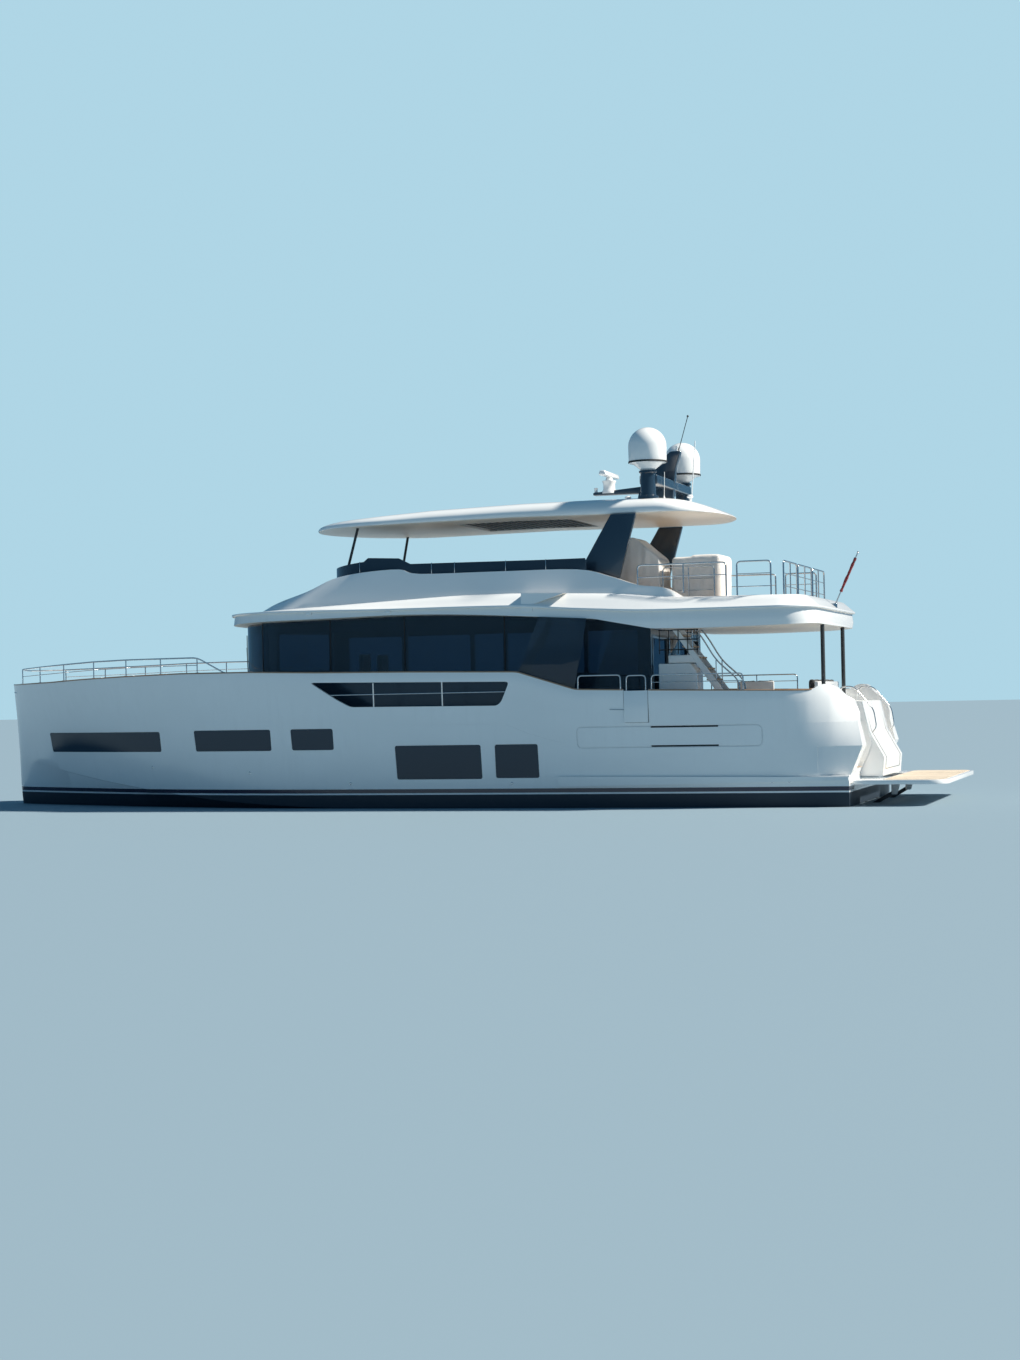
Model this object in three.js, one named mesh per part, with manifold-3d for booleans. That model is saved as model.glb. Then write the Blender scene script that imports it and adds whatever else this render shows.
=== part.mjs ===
// A motor yacht of 25.7 m: planing hull, raised bulwarks, glazed deckhouse, flybridge and hardtop.
// Millimetres. +X points to the bow, +Y to port and +Z up.
// The origin lies on the waterline, on the centreline, halfway along the length overall.

import * as THREE from "three";
import { mergeVertices } from "three/addons/utils/BufferGeometryUtils.js";
import Module from "manifold-3d";

const wasm = await Module();
wasm.setup();

const { degToRad } = THREE.MathUtils;

// Driving dimensions
const STEM_X = 12865;
const PLATFORM_END_X = -12865;
const GAP = 0.4;
const BEYOND = 4000;

// Hull and decks
const KEEL_Z = -1550;
const CHINE_LEDGE = 45;
const FOREDECK_Z = 2400;
const SIDE_DECK_Z = 1950;
const DECK_STEP_X = -3500;
const TRANSOM_X = -10670;
const TRANSOM_TOP_Z = 2410;
const KNUCKLE = { x: -10960, z: 1400 };
const BULWARK_THICK = 90;
const WINDOW_RECESS = 14;
const STEPS = { y: [1540, 2340], x: -9750, going: 250, rise: 270, count: 4 };
const QUARTER = { x: -9450, innerY: 2360 };
const ENGINE_ROOM = { x: [-8300, -6150], y: [-1980, 1980], floorZ: -380 };
const ENGINE = { x: [-8250, -6300], y: 1150, half: 500, topZ: 850 };
const HATCH_LEDGE = 60;
const SOLE_THICK = 50;
const THRUSTER = { x: 10500, z: -520, radius: 190 };

// Running gear
const PROPELLER = { x: -9780, y: 1500, z: -1200, shaftTilt: degToRad(11), pitch: degToRad(28), blades: 5 };
const SHAFT = { length: 1750, logLength: 1500, logRadius: 100, radius: 55 };
const RUDDER = { x: -10330, y: 1500, topZ: -640, depth: 1050, chord: 620, bearing: 40 };

// Gates, platform and its arms
const GATE_X = [-6050, -5450];
const GATE_SILL_Z = 2010;
const GATE = { clear: 12, lift: 8, thick: 70, height: 745, pinRadius: 10 };
const STERN_GATE = { x: -9640, hingeY: 2330, width: 770, height: 760 };
const PLATFORM = { topZ: 600, thick: 100, halfWidth: 2950, corner: 420 };
const PLATFORM_NOTCH = { wingX: -10730, x: -11310, y: 1560 };
const ARM = { pivotX: -10810, pivotZ: -100, length: 700, tilt: degToRad(30), y: 1200, half: 45 };

// Deckhouse
const DECKHOUSE = { halfWidth: 2600, aftX: -5930, ellipseX: 3000, reach: 2557, wall: 110, sillZ: 3050 };
const GLASS_THICK = 14;
const WINDSHIELD_X = 4200;
const DOOR = { y: [-90, 930], topZ: 4050, thick: 40, lift: 20 };
const BULKHEAD_X = [DECKHOUSE.aftX + 5, DECKHOUSE.aftX + 85];
const DOOR_X = [BULKHEAD_X[0] - 12 - DOOR.thick, BULKHEAD_X[0] - 12];

// Flybridge, hardtop and mast
const FLY_DECK = { halfWidth: 3400, aftX: -10050, ellipseX: 3400, reach: 2396, edgeZ: 4820, floorZ: 4870 };
const FLY_CROWN = { inset: 320, topZ: 5170 };
const COAMING = { halfWidth: 3080, aftX: -6250, ellipseX: 2600, reach: 2500, corner: 500 };
const COAMING_TOP = { ...COAMING, halfWidth: 2830, ellipseX: 1000, reach: 2157 };
const FLY_WELL = { halfWidth: 2620, ellipseX: 1000, reach: 1500 };
const HARDTOP = { halfWidth: 2350, aftX: -7400, ellipseX: 1000, reach: 2540 };
const FRONT_POST = { foot: [2230, 1930, 5500], head: [1880, 1770, 7060], radius: 34 };
const LEG_Y = [2300, 2420];
const STAIR = { y0: 1780, y1: 2480, footX: -8150, headX: -6050, risers: 11 };
const DOME = { x: -5780, y: 1780, baseZ: 8420, radius: 520 };
const RADAR = { x: -4250, z: 8080 };
const FLY_RAIL = { y: 2980, forwardX: -6350, cornerX: -8900, aftX: -9200, radius: 17 };
const FLY_RAIL_HEIGHTS = [5140, 5440, 5730];
const STAFF = { foot: [-9920, 0, 4800], head: [-10490, 0, 6030], radius: 18 };

// Deck fittings
const HATCH = { x: 10200, half: 310, coaming: 70, rim: 60, lid: 45 };
const LOUNGE_TOP_Z = 2850;

// Lines of the hull at each station: half-beams and heights. A flare over 1 is a rounded quarter.
const STATIONS = [
  // x, keelZ, chineY, chineZ, railY, railZ, flare
  [-11300, -700, 3040, -80, 1500, 2900, 1.5],
  [-10800, -730, 3070, -80, 2020, 2900, 1.5],
  [-10200, -780, 3100, -85, 2850, 2900, 1.2],
  [-9600, -820, 3130, -90, 3260, 2900, 0.6],
  [-9000, -860, 3150, -90, 3400, 2900, 0],
  [-6500, -1020, 3210, -100, 3500, 2900, 0],
  [-4000, -1150, 3230, -100, 3532, 3050, 0],
  [-1500, -1240, 3220, -90, 3535, 3300, 0],
  [1000, -1290, 3180, -40, 3533, 3345, 0],
  [3200, -1310, 3060, 40, 3515, 3390, 0.05],
  [5000, -1310, 2860, 150, 3440, 3425, 0.1],
  [6600, -1300, 2560, 320, 3270, 3425, 0.15],
  [8000, -1280, 2200, 500, 3000, 3390, 0.2],
  [9200, -1240, 1800, 670, 2660, 3355, 0.25],
  [10200, -1180, 1420, 830, 2300, 3315, 0.3],
  [11000, -1080, 1080, 970, 1900, 3290, 0.3],
  [11700, -900, 740, 1090, 1450, 3275, 0.3],
  [12200, -640, 470, 1170, 1050, 3270, 0.3],
  [12550, -250, 270, 1230, 690, 3272, 0.25],
  [12750, 250, 150, 1270, 390, 3278, 0.2],
  [STEM_X, 2300, 30, 2500, 60, 3280, 0],
];
const TOPSIDE_STEPS = [0.35, 0.7, 1, 1.06];

// Upper edge of the bulwark, seen from the side: x and z.
const SHEER = [
  [13000, 3280],
  [12250, 3270],
  [10600, 3300],
  [9400, 3350],
  [8000, 3390],
  [6200, 3425],
  [4200, 3415],
  [2400, 3365],
  [0, 3330],
  [-2840, 3270],
  [-4280, 2820],
  [-6200, 2770],
  [-9400, 2700],
  [-9850, 2700],
  [-10020, 2860],
  [-10450, 2870],
  [-10720, TRANSOM_TOP_Z],
];

// Underside of the flybridge overhang, seen from the side: x and z.
const UNDERSIDE = [
  [6300, 4640],
  [4670, 4660],
  [2200, 4700],
  [200, 4730],
  [-1800, 4670],
  [-4700, 4490],
  [-6100, 4220],
  [-7300, 4200],
  [-9500, 4200],
  [-10200, 4240],
];

// Windows in the topsides, seen from the side: forward top, aft top, aft bottom, forward bottom.
const HULL_WINDOWS = [
  [[11080, 1960], [7090, 1960], [7030, 1440], [10950, 1440]],
  [[6000, 1980], [3760, 1980], [3730, 1440], [5930, 1440]],
  [[3200, 1980], [2030, 1980], [2000, 1450], [3150, 1450]],
  [[380, 1540], [-1840, 1540], [-1880, 710], [320, 710]],
  [[-2200, 1540], [-3280, 1540], [-3320, 720], [-2220, 720]],
];

// Slanted opening in each bulwark, seen from the side.
const BULWARK_OPENING = [
  [2550, 3120],
  [-2640, 3040],
  [-2420, 2560],
  [-2300, 2470],
  [1500, 2500],
  [1870, 2690],
];

// Shape helpers
function solidOf(geometry) {
  const bare = geometry.index ? geometry.toNonIndexed() : geometry.clone();
  bare.deleteAttribute("normal");
  bare.deleteAttribute("uv");
  const merged = mergeVertices(bare, 1e-3);
  const mesh = new wasm.Mesh({
    numProp: 3,
    vertProperties: merged.attributes.position.array,
    triVerts: new Uint32Array(merged.index.array),
  });
  return new wasm.Manifold(mesh);
}

function geometryOf(solid) {
  const mesh = solid.getMesh();
  const positions = new Float32Array(mesh.numVert * 3);
  for (let i = 0; i < mesh.numVert; i++) {
    positions.set(mesh.vertProperties.subarray(i * mesh.numProp, i * mesh.numProp + 3), i * 3);
  }
  const geometry = new THREE.BufferGeometry();
  geometry.setAttribute("position", new THREE.BufferAttribute(positions, 3));
  geometry.setIndex(new THREE.BufferAttribute(new Uint32Array(mesh.triVerts), 1));
  return geometry;
}

function union(...solids) {
  return solids.reduce((whole, next) => whole.add(next));
}

function block([x0, x1], [y0, y1], [z0, z1]) {
  const geometry = new THREE.BoxGeometry(Math.abs(x1 - x0), Math.abs(y1 - y0), Math.abs(z1 - z0));
  geometry.translate((x0 + x1) / 2, (y0 + y1) / 2, (z0 + z1) / 2);
  return solidOf(geometry);
}

function outlineShape(points) {
  return new THREE.Shape(points.map(([a, b]) => new THREE.Vector2(a, b)));
}

// A side outline, given as x and z, carried across the boat from y0 to y1.
function sideProfile(points, y0 = -BEYOND, y1 = BEYOND) {
  const geometry = new THREE.ExtrudeGeometry(outlineShape(points), { depth: y1 - y0, bevelEnabled: false });
  geometry.rotateX(Math.PI / 2);
  geometry.translate(0, y1, 0);
  return solidOf(geometry);
}

// A plan outline, given as x and y, carried up from z0 to z1.
function planProfile(points, z0, z1) {
  const geometry = new THREE.ExtrudeGeometry(outlineShape(points), { depth: z1 - z0, bevelEnabled: false });
  geometry.translate(0, 0, z0);
  return solidOf(geometry);
}

// A closed solid through rings of equal length, each a list of Vector3, with flat ends.
function loft(rings) {
  const count = rings[0].length;
  const positions = rings.flat().flatMap((point) => [point.x, point.y, point.z]);
  const faces = [];
  for (let r = 0; r + 1 < rings.length; r++) {
    for (let i = 0; i < count; i++) {
      const a = r * count + i;
      const b = r * count + ((i + 1) % count);
      if (2 * i < count) faces.push(a, b, b + count, a, b + count, a + count);
      else faces.push(a, b, a + count, b, b + count, a + count);
    }
  }
  const last = (rings.length - 1) * count;
  for (let i = 1; i + 1 < count; i++) {
    faces.push(0, i + 1, i);
    faces.push(last, last + i, last + i + 1);
  }
  const geometry = new THREE.BufferGeometry();
  geometry.setAttribute("position", new THREE.Float32BufferAttribute(positions, 3));
  geometry.setIndex(faces);
  const solid = solidOf(geometry);
  if (solid.volume() > 0) return solid;
  const turned = [];
  for (let i = 0; i < faces.length; i += 3) turned.push(faces[i], faces[i + 2], faces[i + 1]);
  geometry.setIndex(turned);
  return solidOf(geometry);
}

// A piece cut so that it stands on its support with the usual gap, without what falls off below.
function seat(piece, support, lift = GAP) {
  const raised = solidOf(geometryOf(support).translate(0, 0, lift));
  const parts = piece.subtract(raised).decompose();
  return parts.sort((a, b) => b.volume() - a.volume())[0];
}

function betweenHeights(solid, low, high) {
  return solid.intersect(block([-20000, 20000], [-BEYOND, BEYOND], [low, high]));
}

function rod(from, to, radius, sides = 8) {
  const a = new THREE.Vector3(...from);
  const b = new THREE.Vector3(...to);
  const along = b.clone().sub(a);
  const geometry = new THREE.CylinderGeometry(radius, radius, along.length(), sides);
  const turn = new THREE.Quaternion().setFromUnitVectors(new THREE.Vector3(0, 1, 0), along.normalize());
  geometry.applyQuaternion(turn);
  geometry.translate((a.x + b.x) / 2, (a.y + b.y) / 2, (a.z + b.z) / 2);
  return solidOf(geometry);
}

// Straight tubes through a list of points, with a ball at each bend.
function railing(points, radius, sides = 8) {
  const pieces = [];
  for (let i = 0; i + 1 < points.length; i++) {
    pieces.push(rod(points[i], points[i + 1], radius, sides));
    if (i > 0) {
      const ball = new THREE.SphereGeometry(radius * 1.02, sides, sides / 2);
      ball.translate(...points[i]);
      pieces.push(solidOf(ball));
    }
  }
  return union(...pieces);
}

function turnedShape(profile, sides = 24) {
  const points = profile.map(([radius, height]) => new THREE.Vector2(radius, height));
  const geometry = new THREE.LatheGeometry(points, sides);
  geometry.rotateX(Math.PI / 2);
  return solidOf(geometry);
}

function mirrored(solid) {
  const geometry = geometryOf(solid);
  geometry.scale(1, -1, 1);
  const index = geometry.index.array;
  for (let i = 0; i < index.length; i += 3) {
    [index[i + 1], index[i + 2]] = [index[i + 2], index[i + 1]];
  }
  return solidOf(geometry);
}

// Quarter circle of a plan outline's corner, from one angle over 90 degrees.
function cornerArc(x, y, radius, from) {
  const points = [];
  for (let i = 0; i <= 4; i++) {
    const angle = from + (Math.PI / 8) * i;
    points.push([x + radius * Math.cos(angle), y + radius * Math.sin(angle)]);
  }
  return points;
}

// Plan outline with straight sides, a half-ellipse forward and rounded corners aft.
function planOutline({ halfWidth, aftX, ellipseX, reach, corner = 0, inset = 0, steps = 14 }) {
  const half = halfWidth - inset;
  const points = [];
  for (let i = 0; i <= steps; i++) {
    const angle = -Math.PI / 2 + (Math.PI * i) / steps;
    points.push([ellipseX + (reach - inset) * Math.cos(angle), half * Math.sin(angle)]);
  }
  const aft = aftX + inset;
  if (corner === 0) return [...points, [aft, half], [aft, -half]];
  points.push(...cornerArc(aft + corner, half - corner, corner, Math.PI / 2));
  points.push(...cornerArc(aft + corner, corner - half, corner, Math.PI));
  return points;
}

function ringAt(outline, z) {
  return outline.map(([x, y]) => new THREE.Vector3(x, y, z));
}

// Hull
function hullSection([x, keelZ, chineY, chineZ, railY, railZ, flare], inset) {
  const side = [
    [chineY * 0.6, keelZ + (chineZ - keelZ) * 0.38],
    [chineY, chineZ],
    [chineY + CHINE_LEDGE * (chineY / 3200), chineZ + 15],
  ];
  for (const step of TOPSIDE_STEPS) {
    const share = step - flare * step * (1 - step);
    const start = side[2];
    side.push([start[0] + (railY - start[0]) * share, start[1] + (railZ - start[1]) * step]);
  }
  const port = side.map(([y, z]) => new THREE.Vector3(x, Math.max(y - inset, 2), z));
  const starboard = [...port].reverse().map((point) => new THREE.Vector3(x, -point.y, point.z));
  return [new THREE.Vector3(x, 0, keelZ), ...port, ...starboard];
}

function hullForm(inset = 0) {
  const rows = inset > 20 ? STATIONS.slice(0, -1) : STATIONS;
  return loft(rows.map((row) => hullSection(row, inset)));
}

// Half-beam at the bulwark's upper edge, between two stations.
function railHalfBeam(x) {
  const next = STATIONS.findIndex((row) => row[0] >= x);
  const [x0, , , , y0] = STATIONS[next - 1];
  const [x1, , , , y1] = STATIONS[next];
  return y0 + ((y1 - y0) * (x - x0)) / (x1 - x0);
}

function sheerHeight(x) {
  const next = SHEER.findIndex((row) => row[0] <= x);
  const [x0, z0] = SHEER[next - 1];
  const [x1, z1] = SHEER[next];
  return z0 + ((z1 - z0) * (x - x0)) / (x1 - x0);
}

// The quarters are cut away below the knuckle: a wedge in each, seen from astern as y and z.
function quarterCut(side) {
  const wedge = [[3320, KNUCKLE.z], [3700, KNUCKLE.z], [3700, 720], [2900, 720]];
  const ring = (x) => wedge.map(([y, z]) => new THREE.Vector3(x, side * y, z));
  return loft([ring(-10020), ring(-11400)]);
}

function makeHull(form) {
  const profile = [
    [13000, FOREDECK_Z],
    [DECK_STEP_X, FOREDECK_Z],
    [DECK_STEP_X, SIDE_DECK_Z],
    [-10830, SIDE_DECK_Z],
    [KNUCKLE.x, KNUCKLE.z],
    [TRANSOM_X, 740],
    [TRANSOM_X, -2500],
    [13000, -2500],
  ];
  let hull = form.intersect(sideProfile(profile));
  hull = hull.subtract(quarterCut(1)).subtract(quarterCut(-1));
  const transomBlock = [
    [-9990, 1900],
    [-9990, TRANSOM_TOP_Z],
    [-10740, TRANSOM_TOP_Z],
    [-10900, 1700],
    [-11240, 1080],
    [-11200, 640],
    [-10600, 640],
  ];
  hull = hull.add(sideProfile(transomBlock, -STEPS.y[0] + 40, STEPS.y[0] - 40));
  for (let i = 0; i < STEPS.count; i++) {
    const goingX = [-12000, STEPS.x - STEPS.going * i];
    const above = [SIDE_DECK_Z - STEPS.rise * (i + 1), 3000];
    hull = hull.subtract(block(goingX, STEPS.y, above));
    hull = hull.subtract(block(goingX, [-STEPS.y[1], -STEPS.y[0]], above));
  }
  const { x, y, floorZ } = ENGINE_ROOM;
  hull = hull.subtract(block(x, y, [floorZ, 2500]));
  const ledge = ([low, high]) => [low - HATCH_LEDGE, high + HATCH_LEDGE];
  hull = hull.subtract(block(ledge(x), ledge(y), [SIDE_DECK_Z - SOLE_THICK, 2500]));
  const { x: thrusterX, z: thrusterZ, radius } = THRUSTER;
  hull = hull.subtract(rod([thrusterX, -2500, thrusterZ], [thrusterX, 2500, thrusterZ], radius, 20));
  const strakeOutline = [[-3770, 760], [TRANSOM_X, 690], [TRANSOM_X, 610], [-3770, 510]];
  for (const side of [1, -1]) {
    const strake = sideProfile(strakeOutline, side > 0 ? 3000 : -3420, side > 0 ? 3420 : -3000);
    hull = hull.add(strake.intersect(hullForm(-60)));
    hull = hull.add(rudderBearing(side));
    hull = hull.add(shaftLog(side));
  }
  const keel = [[6500, -1200], [-7600, -900], [-7900, -1000], [-6200, KEEL_Z], [5200, KEEL_Z]];
  hull = hull.add(sideProfile(keel, -90, 90));
  const inner = hullForm(WINDOW_RECESS);
  for (const outline of HULL_WINDOWS) {
    hull = hull.subtract(sideProfile(outline).subtract(inner));
  }
  const lug = [[TRANSOM_X + 5, 20], [-10880, -30], [-10880, -170], [TRANSOM_X + 5, -220]];
  for (const y0 of [-900, 840]) hull = hull.add(sideProfile(lug, y0, y0 + 60));
  hull = hull.subtract(rod([ARM.pivotX, -1000, ARM.pivotZ], [ARM.pivotX, 1000, ARM.pivotZ], 41, 24));
  return addHatchCoaming(hull);
}

function addHatchCoaming(hull) {
  const { x, half, coaming, rim } = HATCH;
  const clear = half - rim;
  const frame = block([x - half, x + half], [-half, half], [FOREDECK_Z - 10, FOREDECK_Z + coaming]);
  const well = block([x - clear, x + clear], [-clear, clear], [FOREDECK_Z - 60, FOREDECK_Z + 200]);
  return hull.add(frame).subtract(well);
}

function rudderBearing(side) {
  const y = side * RUDDER.y;
  return rod([RUDDER.x, y, RUDDER.topZ + RUDDER.bearing], [RUDDER.x, y, -300], 130, 16);
}

function shaftPoint(distance, side) {
  const along = Math.cos(PROPELLER.shaftTilt) * distance;
  const up = Math.sin(PROPELLER.shaftTilt) * distance;
  return [PROPELLER.x + along, side * PROPELLER.y, PROPELLER.z + up];
}

function shaftLog(side) {
  const inside = SHAFT.length + SHAFT.logLength;
  return rod(shaftPoint(SHAFT.length, side), shaftPoint(inside, side), SHAFT.logRadius, 16);
}

function makeBulwark(form) {
  const aboveDeck = [
    ...SHEER,
    [-10830, SIDE_DECK_Z + GAP],
    [DECK_STEP_X - GAP, SIDE_DECK_Z + GAP],
    [DECK_STEP_X - GAP, FOREDECK_Z + GAP],
    [13000, FOREDECK_Z + GAP],
  ];
  const inside = hullForm(BULWARK_THICK).subtract(block([-12000, QUARTER.x], [-BEYOND, BEYOND], [0, BEYOND]));
  const cockpit = block([-11500, QUARTER.x], [-QUARTER.innerY, QUARTER.innerY], [0, BEYOND]);
  const both = form
    .intersect(sideProfile(aboveDeck))
    .subtract(inside)
    .subtract(cockpit)
    .subtract(sideProfile(BULWARK_OPENING))
    .subtract(block(GATE_X, [-BEYOND, BEYOND], [GATE_SILL_Z, BEYOND]));
  return both.intersect(block([-14000, 14000], [0.2, BEYOND], [0, BEYOND]));
}

// Two posts and a rail that fill the slanted opening, clear of its edges.
function makeOpeningRail() {
  const [centreX, centreZ, shrink] = [-45, 2795, 0.998];
  const towards = (centre, value) => centre + (value - centre) * shrink;
  const inside = BULWARK_OPENING.map(([x, z]) => [towards(centreX, x), towards(centreZ, z)]);
  const line = (x) => railHalfBeam(x) - BULWARK_THICK / 2;
  const posts = [880, -910].map((x) => rod([x, line(x), 2400], [x, line(x), 3200], 20));
  const rail = rod([2400, line(2400), 2800], [-2700, line(-2700), 2800], 14);
  return union(rail, ...posts).intersect(sideProfile(inside));
}

// A gate leaf in its own frame: the hinge pin at the origin, the leaf along -X and its thickness along +Y.
function makeGateLeaf(length, height) {
  const leaf = block([-length, 0], [0, GATE.thick], [0, height]);
  return leaf.add(rod([0, 0, GAP - GATE.lift], [0, 0, height], GATE.pinRadius, 12));
}

function makeSwimPlatform() {
  const { topZ, thick, halfWidth, corner } = PLATFORM;
  const { wingX, x: notchX, y: notchY } = PLATFORM_NOTCH;
  const aft = cornerArc(PLATFORM_END_X + corner, halfWidth - corner, corner, Math.PI / 2);
  const outline = [[notchX, 0], [notchX, notchY], [wingX, notchY], [wingX, halfWidth], ...aft];
  const whole = [...outline, ...outline.slice(1).reverse().map(([x, y]) => [x, -y])];
  let platform = planProfile(whole, topZ - thick, topZ);
  const pinX = ARM.pivotX - ARM.length * Math.cos(ARM.tilt);
  const pinZ = ARM.pivotZ + ARM.length * Math.sin(ARM.tilt);
  const lug = [
    [pinX - 150, topZ - thick],
    [pinX - 60, pinZ - 60],
    [pinX + 60, pinZ - 60],
    [pinX + 60, topZ - thick],
  ];
  for (const y of [ARM.y, -ARM.y]) {
    for (const side of [-1, 1]) {
      const plateY = y + side * 65;
      platform = platform.add(sideProfile(lug, plateY - 15, plateY + 15));
    }
    platform = platform.add(rod([pinX, y - 70, pinZ], [pinX, y + 70, pinZ], 30, 24));
  }
  return platform;
}

// Lifting arms in their own frame: the transom pivot at the origin, the arms reaching aft along -X.
function makePlatformArms() {
  const { y: armY, half, length } = ARM;
  let arms = rod([0, -armY - half, 0], [0, armY + half, 0], 40, 24);
  for (const y of [armY, -armY]) {
    arms = arms.add(block([-length, 0], [y - half, y + half], [-half, half]));
    arms = arms.add(rod([-length, y - half, 0], [-length, y + half, 0], 55, 24));
  }
  return arms.subtract(rod([-length, -2000, 0], [-length, 2000, 0], 31, 24));
}

// Propeller in its own frame: the shaft runs along +X from the hub.
function makePropeller() {
  const thick = 18;
  const outline = [
    [60, -60],
    [190, -170],
    [360, -190],
    [450, -60],
    [445, 60],
    [350, 170],
    [180, 140],
    [60, 60],
  ];
  const blades = [];
  for (let i = 0; i < PROPELLER.blades; i++) {
    const blade = new THREE.ExtrudeGeometry(outlineShape(outline), { depth: thick, bevelEnabled: false });
    blade.translate(0, 0, -thick / 2);
    blade.rotateX(Math.PI / 2);
    blade.rotateY(Math.PI / 2);
    blade.rotateZ(PROPELLER.pitch);
    blade.rotateX((2 * Math.PI * i) / PROPELLER.blades);
    blades.push(solidOf(blade));
  }
  const hub = geometryOf(turnedShape([[0, -170], [60, -120], [95, -60], [95, 110], [0, 110]], 20));
  hub.rotateY(Math.PI / 2);
  const shaft = rod([0, 0, 0], [SHAFT.length - GAP, 0, 0], SHAFT.radius, 20);
  return union(solidOf(hub), shaft, ...blades);
}

// Bracket that carries the shaft just ahead of the propeller, in the shaft's own frame.
function makeShaftBracket() {
  const barrel = rod([180, 0, 0], [420, 0, 0], 95, 20);
  const struts = [-1, 1].map((side) => rod([300, 0, 40], [300, side * 240, 620], 38, 10));
  return union(barrel, ...struts).subtract(rod([0, 0, 0], [600, 0, 0], SHAFT.radius + 0.9, 20));
}

// Rudder in its own frame: the stock's axis is Z, its upper end at the origin.
function makeRudder() {
  const half = RUDDER.chord / 2;
  const aft = -60;
  const section = [
    [aft + half, 0],
    [aft + half * 0.6, 38],
    [aft, 45],
    [aft - half, 8],
    [aft - half, -8],
    [aft, -45],
    [aft + half * 0.6, -38],
  ];
  const blade = planProfile(section, -RUDDER.depth, -60);
  return blade.add(rod([0, 0, -100], [0, 0, 0], 42, 16));
}

// Deckhouse
function belowOverhang() {
  const top = UNDERSIDE.map(([x, z]) => [x, z - GAP]);
  return sideProfile([...top, [-10200, 0], [6300, 0]]);
}

function makeDeckhouse(under) {
  const { wall, sillZ, aftX } = DECKHOUSE;
  const outer = planOutline({ ...DECKHOUSE, inset: GLASS_THICK + 1 });
  const innerOutline = planOutline({ ...DECKHOUSE, inset: wall });
  const stepped = [
    [6300, FOREDECK_Z + GAP],
    [DECK_STEP_X - GAP, FOREDECK_Z + GAP],
    [DECK_STEP_X - GAP, SIDE_DECK_Z + GAP],
    [-8000, SIDE_DECK_Z + GAP],
    [-8000, 5000],
    [6300, 5000],
  ];
  let house = planProfile(outer, 1000, 5000).intersect(sideProfile(stepped)).intersect(under);
  house = house.subtract(planProfile(innerOutline, 1000, 5000));
  house = house.subtract(block([aftX - 100, aftX + wall + 5], [-BEYOND, BEYOND], [0, 5000]));
  const sideBays = [
    // aft x, forward x
    [-5650, -4350],
    [-4250, -2300],
    [-2200, 300],
    [420, 2300],
    [2400, 3900],
  ];
  for (const bay of sideBays) {
    house = house.subtract(block(bay, [-BEYOND, BEYOND], [sillZ + 100, 4380]));
  }
  for (const y of [-1550, 0, 1550]) {
    house = house.subtract(block([4300, 7000], [y - 700, y + 700], [3500, 4480]));
  }
  const roofBeam = block([-5900, -5750], [-2560, 2560], [4100, 4230]);
  return house.add(roofBeam.intersect(under));
}

function makeSideGlass(under) {
  const outline = [
    [WINDSHIELD_X, 3200],
    [WINDSHIELD_X, 5000],
    [-5900, 5000],
    [-5900, 2780],
    [-4300, 2900],
    [-2800, 3200],
  ];
  return sideProfile(outline, DECKHOUSE.halfWidth - GLASS_THICK, DECKHOUSE.halfWidth).intersect(under);
}

function makeWindshield(under) {
  const inner = planOutline({ ...DECKHOUSE, inset: GLASS_THICK });
  const strip = planProfile(planOutline(DECKHOUSE), 3300, 5000).subtract(planProfile(inner, 3000, 5200));
  return strip.intersect(block([WINDSHIELD_X + GAP, 7000], [-BEYOND, BEYOND], [3000, 5000])).intersect(under);
}

function makeAftBulkhead(under) {
  let frame = block(BULKHEAD_X, [-2470, 2470], [SIDE_DECK_Z + GAP, 4099]).intersect(under);
  const panes = [
    // starboard y, port y
    [-2380, -1160],
    [-1060, -140],
    [-40, 900],
    [1000, 2380],
  ];
  for (const pane of panes) {
    frame = frame.subtract(block([-7000, -5000], pane, [SIDE_DECK_Z + 60, 4020]));
  }
  const trackX = [DOOR_X[0] - 5, BULKHEAD_X[0] + 5];
  return frame.add(block(trackX, [-1160, 980], [SIDE_DECK_Z + GAP, SIDE_DECK_Z + DOOR.lift - GAP]));
}

// The pane leans inboard from the bulwark's top to the edge of the overhang.
function makeWingGlass(under) {
  const outline = [
    [-3540, 5000],
    [-4650, 5000],
    [-4250, sheerHeight(-4250) + GAP],
    [-2860, sheerHeight(-2860) + GAP],
  ];
  const pane = geometryOf(sideProfile(outline, 0, 15).intersect(under));
  const foot = { y: 3462, z: 2830 };
  const lean = -0.053;
  pane.translate(0, 0, -foot.z);
  pane.applyMatrix4(new THREE.Matrix4().makeShear(0, 0, 0, 0, 0, lean));
  pane.translate(0, foot.y, foot.z);
  return solidOf(pane);
}

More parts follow.
